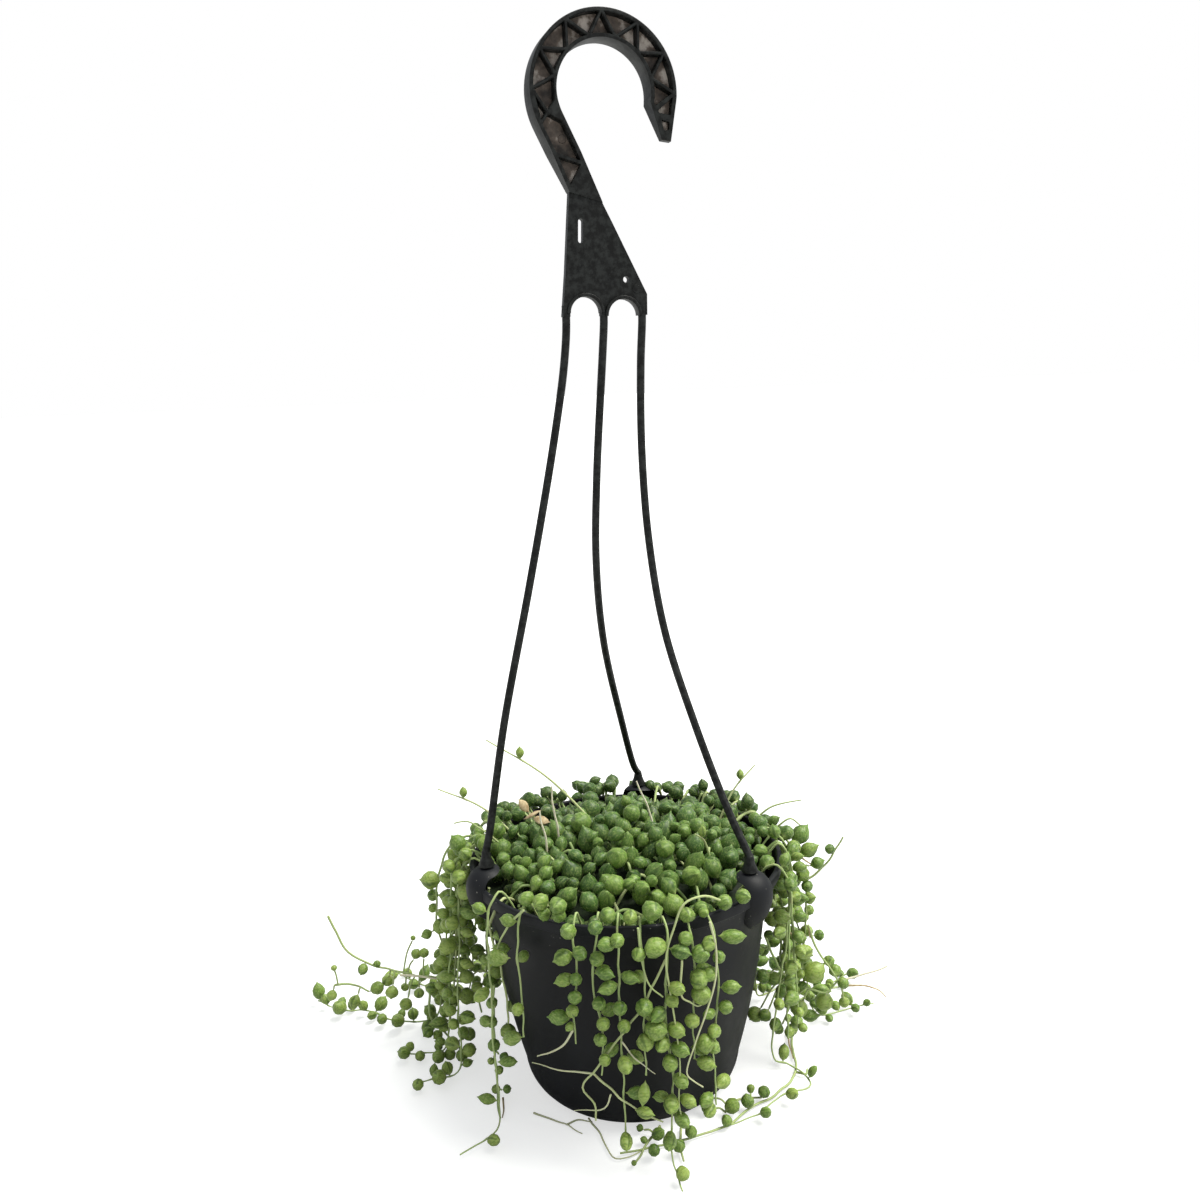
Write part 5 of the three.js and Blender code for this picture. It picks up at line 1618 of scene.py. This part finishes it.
def crown_runners(growth):
    """Runners that rise out of the crown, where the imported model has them, each with a bud."""
    for (root_x, root_y), tip in RUNNERS:
        start = np.array([root_x, root_y, mat_height(math.hypot(root_x, root_y)) - MAT_SINK])
        middle = mix(start, np.array(tip), 0.5) + [0, 0, 7]
        path = Path([start, middle, tip])
        joint = path.spaced(4)[3]
        growth.leaf(joint, joint + [0, 0, 3.6], 2.4, "pointed", 0.1)
        growth.stem(path.spaced(30), 0.8, 0.5, 0.45, [joint])


def make_mat():
    """The crown: beads crowded over the soil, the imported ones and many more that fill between
    them out to the rim, on short stems over a dark, uneven heart."""
    draw, shade = seeded_draw(911), seeded_draw(733)
    growth = Growth()
    centres, radii = crowd_crown(growth, *packed_crown(growth, draw, shade), shade)
    for centre, radius in zip(centres, radii):
        ROOM.add(centre, radius, CROWN_OWNER)
    crown_stems(growth, shade)
    crown_runners(growth)
    growth.finish("pearl_mat_fine", 3, "pearl_mat")
    make_heart()


def make_heart():
    """The mass of old stems under the crown's leaves, dark as painted shade in the gaps between them."""
    reach, flat, sink = 72, 66, 2.6      # its top's radius, where that goes level, and how deep it lies
    foot, edge = SOIL_TOP + GAP, MAT["radius"]
    profile = [(0, foot), (edge + 6, foot), (edge + 12, SOIL_TOP + 4)]
    profile += [(reach * share, mat_height(min(reach * share, flat)) - sink)
                for share in np.linspace(1, 0.03, 26)]
    heart = turned("mat_heart", [*profile, (0, MAT["crown"] - sink)], 96)
    for vertex in heart.data.vertices:
        place = vertex.co / MM
        if place.z > SOIL_TOP + 6:
            vertex.co.z += 1.8 * noise.noise(place / 6) * MM
    dress(soften(heart, 60), "pearl_leaf", MAT_HEART, "pearl_mat")


# ---- loose ends that show from the front ----
# Bare stems down the front: thickness, tint, the tip's share of the thickness, and the azimuth and
# height of each point.
FRONT_STEMS = [
    (0.65, 0.35, 0.7, [(214, 130), (221, 119), (227, 104)]),
    (0.6, 0.75, 0.5, [(199, 75), (202, 67), (207, 61), (212, 57)]),
    (0.62, 0.45, 0.7, [(170, 110), (174, 98), (179, 85), (184, 74), (193, 55), (197, 45), (193, 38),
                       (193, 30)]),
    (0.5, 0.7, 0.4, [(193, 54), (204, 53), (214, 53)]),
    (0.55, 0.55, 0.7, [(193, 54), (186, 44), (179, 35), (172, 29)]),
    (0.45, 0.7, 0.4, [(188, 44), (190, 37), (200, 33)]),
    (0.45, 0.85, 0.4, [(184, 71), (178, 59), (174, 54)]),
]
# Bare stems in front of those, through pixels of the photograph. Each is a little further out and
# paler than the one before.
SEEN_STEM = 0.56
SEEN_STEMS = [
    [(638, 928), (642, 962), (650, 986), (663, 997)],
    [(720, 900), (704, 896), (684, 904), (674, 928), (666, 957), (670, 991), (676, 1029), (680, 1066),
     (679, 1103), (682, 1119)],
    [(682, 960), (682, 997), (690, 1002), (698, 1006), (702, 1004), (702, 999)],
    [(710, 922), (716, 949), (715, 981), (706, 1013), (695, 1044), (687, 1074), (695, 1082), (703, 1087)],
]
# Leaves that rest on the rim: azimuth, height, radius, and kind where it isn't drawn.
RIM_LEAVES = [
    (161, 121, 2.8), (162, 126, 3.4), (156, 119, 2.6), (148, 129, 3.9, "round"), (140, 126, 3.6, "pointed"),
    (180, 130, 3.4), (173, 133, 5, "folded"), (187, 131, 3.6), (203, 129, 3.2), (208, 128, 3.2),
    (215, 134, 3.8), (209, 134, 4.2, "folded"), (203, 134, 4.4, "folded"),
]
RIM_LEAF_RING = 82
# Dead twigs on the floor in front of the pot, in x and y, with their height and thickness.
TWIGS = [[(-52, -38), (-35, -48), (-27, -55)], [(-24, -44), (-17, -60), (-10, -74), (5, -67)],
         [(-35, -48), (-28, -45), (-22, -46)]]
TWIG_HEIGHT, TWIG = 1.3, 0.55

# Thin runners that stand out of the plant: a depth in y, and pixels of the photograph.
DRIED_STEMS = [
    (5, [(655, 834), (648, 808), (637, 781)]), (-12, [(548, 860), (545, 836), (539, 811)]),
    (6, [(838, 981), (862, 975), (879, 970), (889, 966)]), (20, [(400, 975), (430, 977), (466, 982)]),
    (0, [(560, 845), (556, 820), (551, 786)]),
]
WITHERED_ROOTS = [
    (6, [(840, 985), (867, 986), (878, 990), (886, 997)]), (200, [(787, 1032), (791, 1050), (793, 1059)]),
    (25, [(802, 858), (808, 863), (814, 866)]), (6, [(808, 926), (811, 938)]),
    (22, [(788, 928), (796, 942)]), (-20, [(503, 1098), (504, 1110), (502, 1118)]),
]
LIVE_RUNNERS = [
    (40, [(760, 815), (772, 806), (785, 803), (802, 800)]), (30, [(778, 826), (790, 818), (803, 826)]),
    (8, [(498, 842), (480, 828), (466, 822), (455, 823)]),
]
# Withered leaves: a pixel of the photograph, the way that the leaf reaches from its stalk, and size.
WITHERED_LEAVES = [((524, 806), (-5, -2, 8), 2.7), ((532, 815), (8, -3, 5), 3.5),
                   ((541, 820), (9, -2, -2), 2.6)]
# Each piece of them: name, seed, lines, thickness, tint, the tip's share of the thickness, and the
# materials that aren't the living plant's.
WISPS = [
    ("side_runners", 72, LIVE_RUNNERS, 0.6, 0.3, 0.6, {}),
    ("dried_stems", 73, DRIED_STEMS, 0.65, 0.95, 0.6, {"leaf": DRY_LEAF}),
    ("withered_bits", 74, WITHERED_ROOTS, 0.6, 0.5, 0.5, {"leaf": DRY_LEAF, "stem": DRY_LEAF}),
]


def make_front_details():
    growth = Growth()
    draw = seeded_draw(2203)
    for thickness, tint, tip, points in FRONT_STEMS:
        path = Path([polar(azimuth, HANG_RING, z) for azimuth, z in points])
        growth.stem(fine_places(path), thickness, tint, tip)
    for number, spots in enumerate(SEEN_STEMS):
        path = Path([seen_on_ring(spot, HANG_RING + 3 + number) for spot in spots])
        growth.stem(path.spaced(60), SEEN_STEM, 0.3 + 0.12 * number, 0.6)
    for azimuth, z, radius, *kind in RIM_LEAVES:
        centre = polar(azimuth, RIM_LEAF_RING, max(z, POT_HEIGHT + 0.5 + radius))
        root = centre - polar(azimuth, radius + 1, 0) + [0, 0, -1]
        growth.leaf(root, centre, radius, kind[0] if kind else any_kind(draw), draw(0.2, 0.6))
    for twig in TWIGS:
        growth.stem(fine_places(Path([(x, y, TWIG_HEIGHT) for x, y in twig])), TWIG, 0.7, 0.5)
    growth.finish("front_runners", 71)


def make_wisps():
    """Thin bare runners, dried stems and withered leaves that stand out of the plant."""
    for name, seed, lines, thickness, tint, tip, stuff in WISPS:
        growth = Growth()
        for depth, line in lines:
            path = Path([seen_at(spot, depth)[0] for spot in line])
            growth.stem(fine_places(path), thickness, tint, tip)
        if lines is WITHERED_ROOTS:
            for spot, aim, size in WITHERED_LEAVES:
                centre = seen_at(spot, 0)[0]
                growth.leaf(centre - np.array(aim), centre, size, "pointed", flat=0.3)
        growth.finish(name, seed, **stuff)


# ---- studio ----
def make_camera():
    data = bpy.data.cameras.new("camera")
    data.lens, data.sensor_width = CAMERA_LENS, SENSOR
    data.clip_start, data.clip_end = 0.01, 60       # metres
    camera = new_object("camera", data)
    forward, right, down = (Vector(axis) for axis in CAMERA_AXES)
    turn = Matrix((right, -down, -forward)).transposed().to_4x4()
    camera.matrix_world = Matrix.Translation(Vector(CAMERA_PLACE) * MM) @ turn
    bpy.context.scene.camera = camera


def sun_light(name, azimuth, elevation, strength, softness, colour):
    """A large soft lamp far away, at an azimuth and elevation seen from the pot."""
    data = bpy.data.lights.new(name, "SUN")
    data.energy, data.angle = strength, math.radians(softness)
    data.color = linear(colour)[:3]
    light = new_object(name, data)
    place = polar(azimuth, math.cos(math.radians(elevation)), math.sin(math.radians(elevation)))
    light.matrix_world = Vector(-place).to_track_quat("-Z", "Y").to_matrix().to_4x4()


def make_studio():
    corners = [(x, y, 0) for x, y in ((-1, -1), (1, -1), (1, 1), (-1, 1))]
    floor = new_object("floor", mesh_of("floor", FLOOR_REACH * np.array(corners), [(0, 1, 2, 3)]))
    floor.data.materials.append(studio_floor())
    world = bpy.data.worlds.new("studio")
    world.use_nodes = True
    tree = world.node_tree
    tree.nodes.clear()
    add = partial(add_node, tree)
    seen = add("ShaderNodeLightPath").outputs["Is Camera Ray"]
    room = add("ShaderNodeBackground", Color="#f4f7fc", Strength=0.66)
    backdrop = add("ShaderNodeBackground", Color="#ffffff", Strength=1.0)
    light = add("ShaderNodeMixShader", _0=seen, _1=room, _2=backdrop)
    add("ShaderNodeOutputWorld", Surface=light)
    bpy.context.scene.world = world
    sun_light("key", 88, 60, 4.9, 42, "#fffdf4")
    bpy.context.scene.view_settings.view_transform = "Standard"


make_camera()
make_studio()
make_pot()
make_hanger()
make_soil()
make_mat()
WAYS, PACKED_LEAVES = book_packed()
make_growth_by_sight()
make_strings(WAYS, PACKED_LEAVES)
make_bunches()
make_front_details()
make_wisps()
for shape in LEAF_SHAPES.values():
    bpy.data.objects.remove(shape)
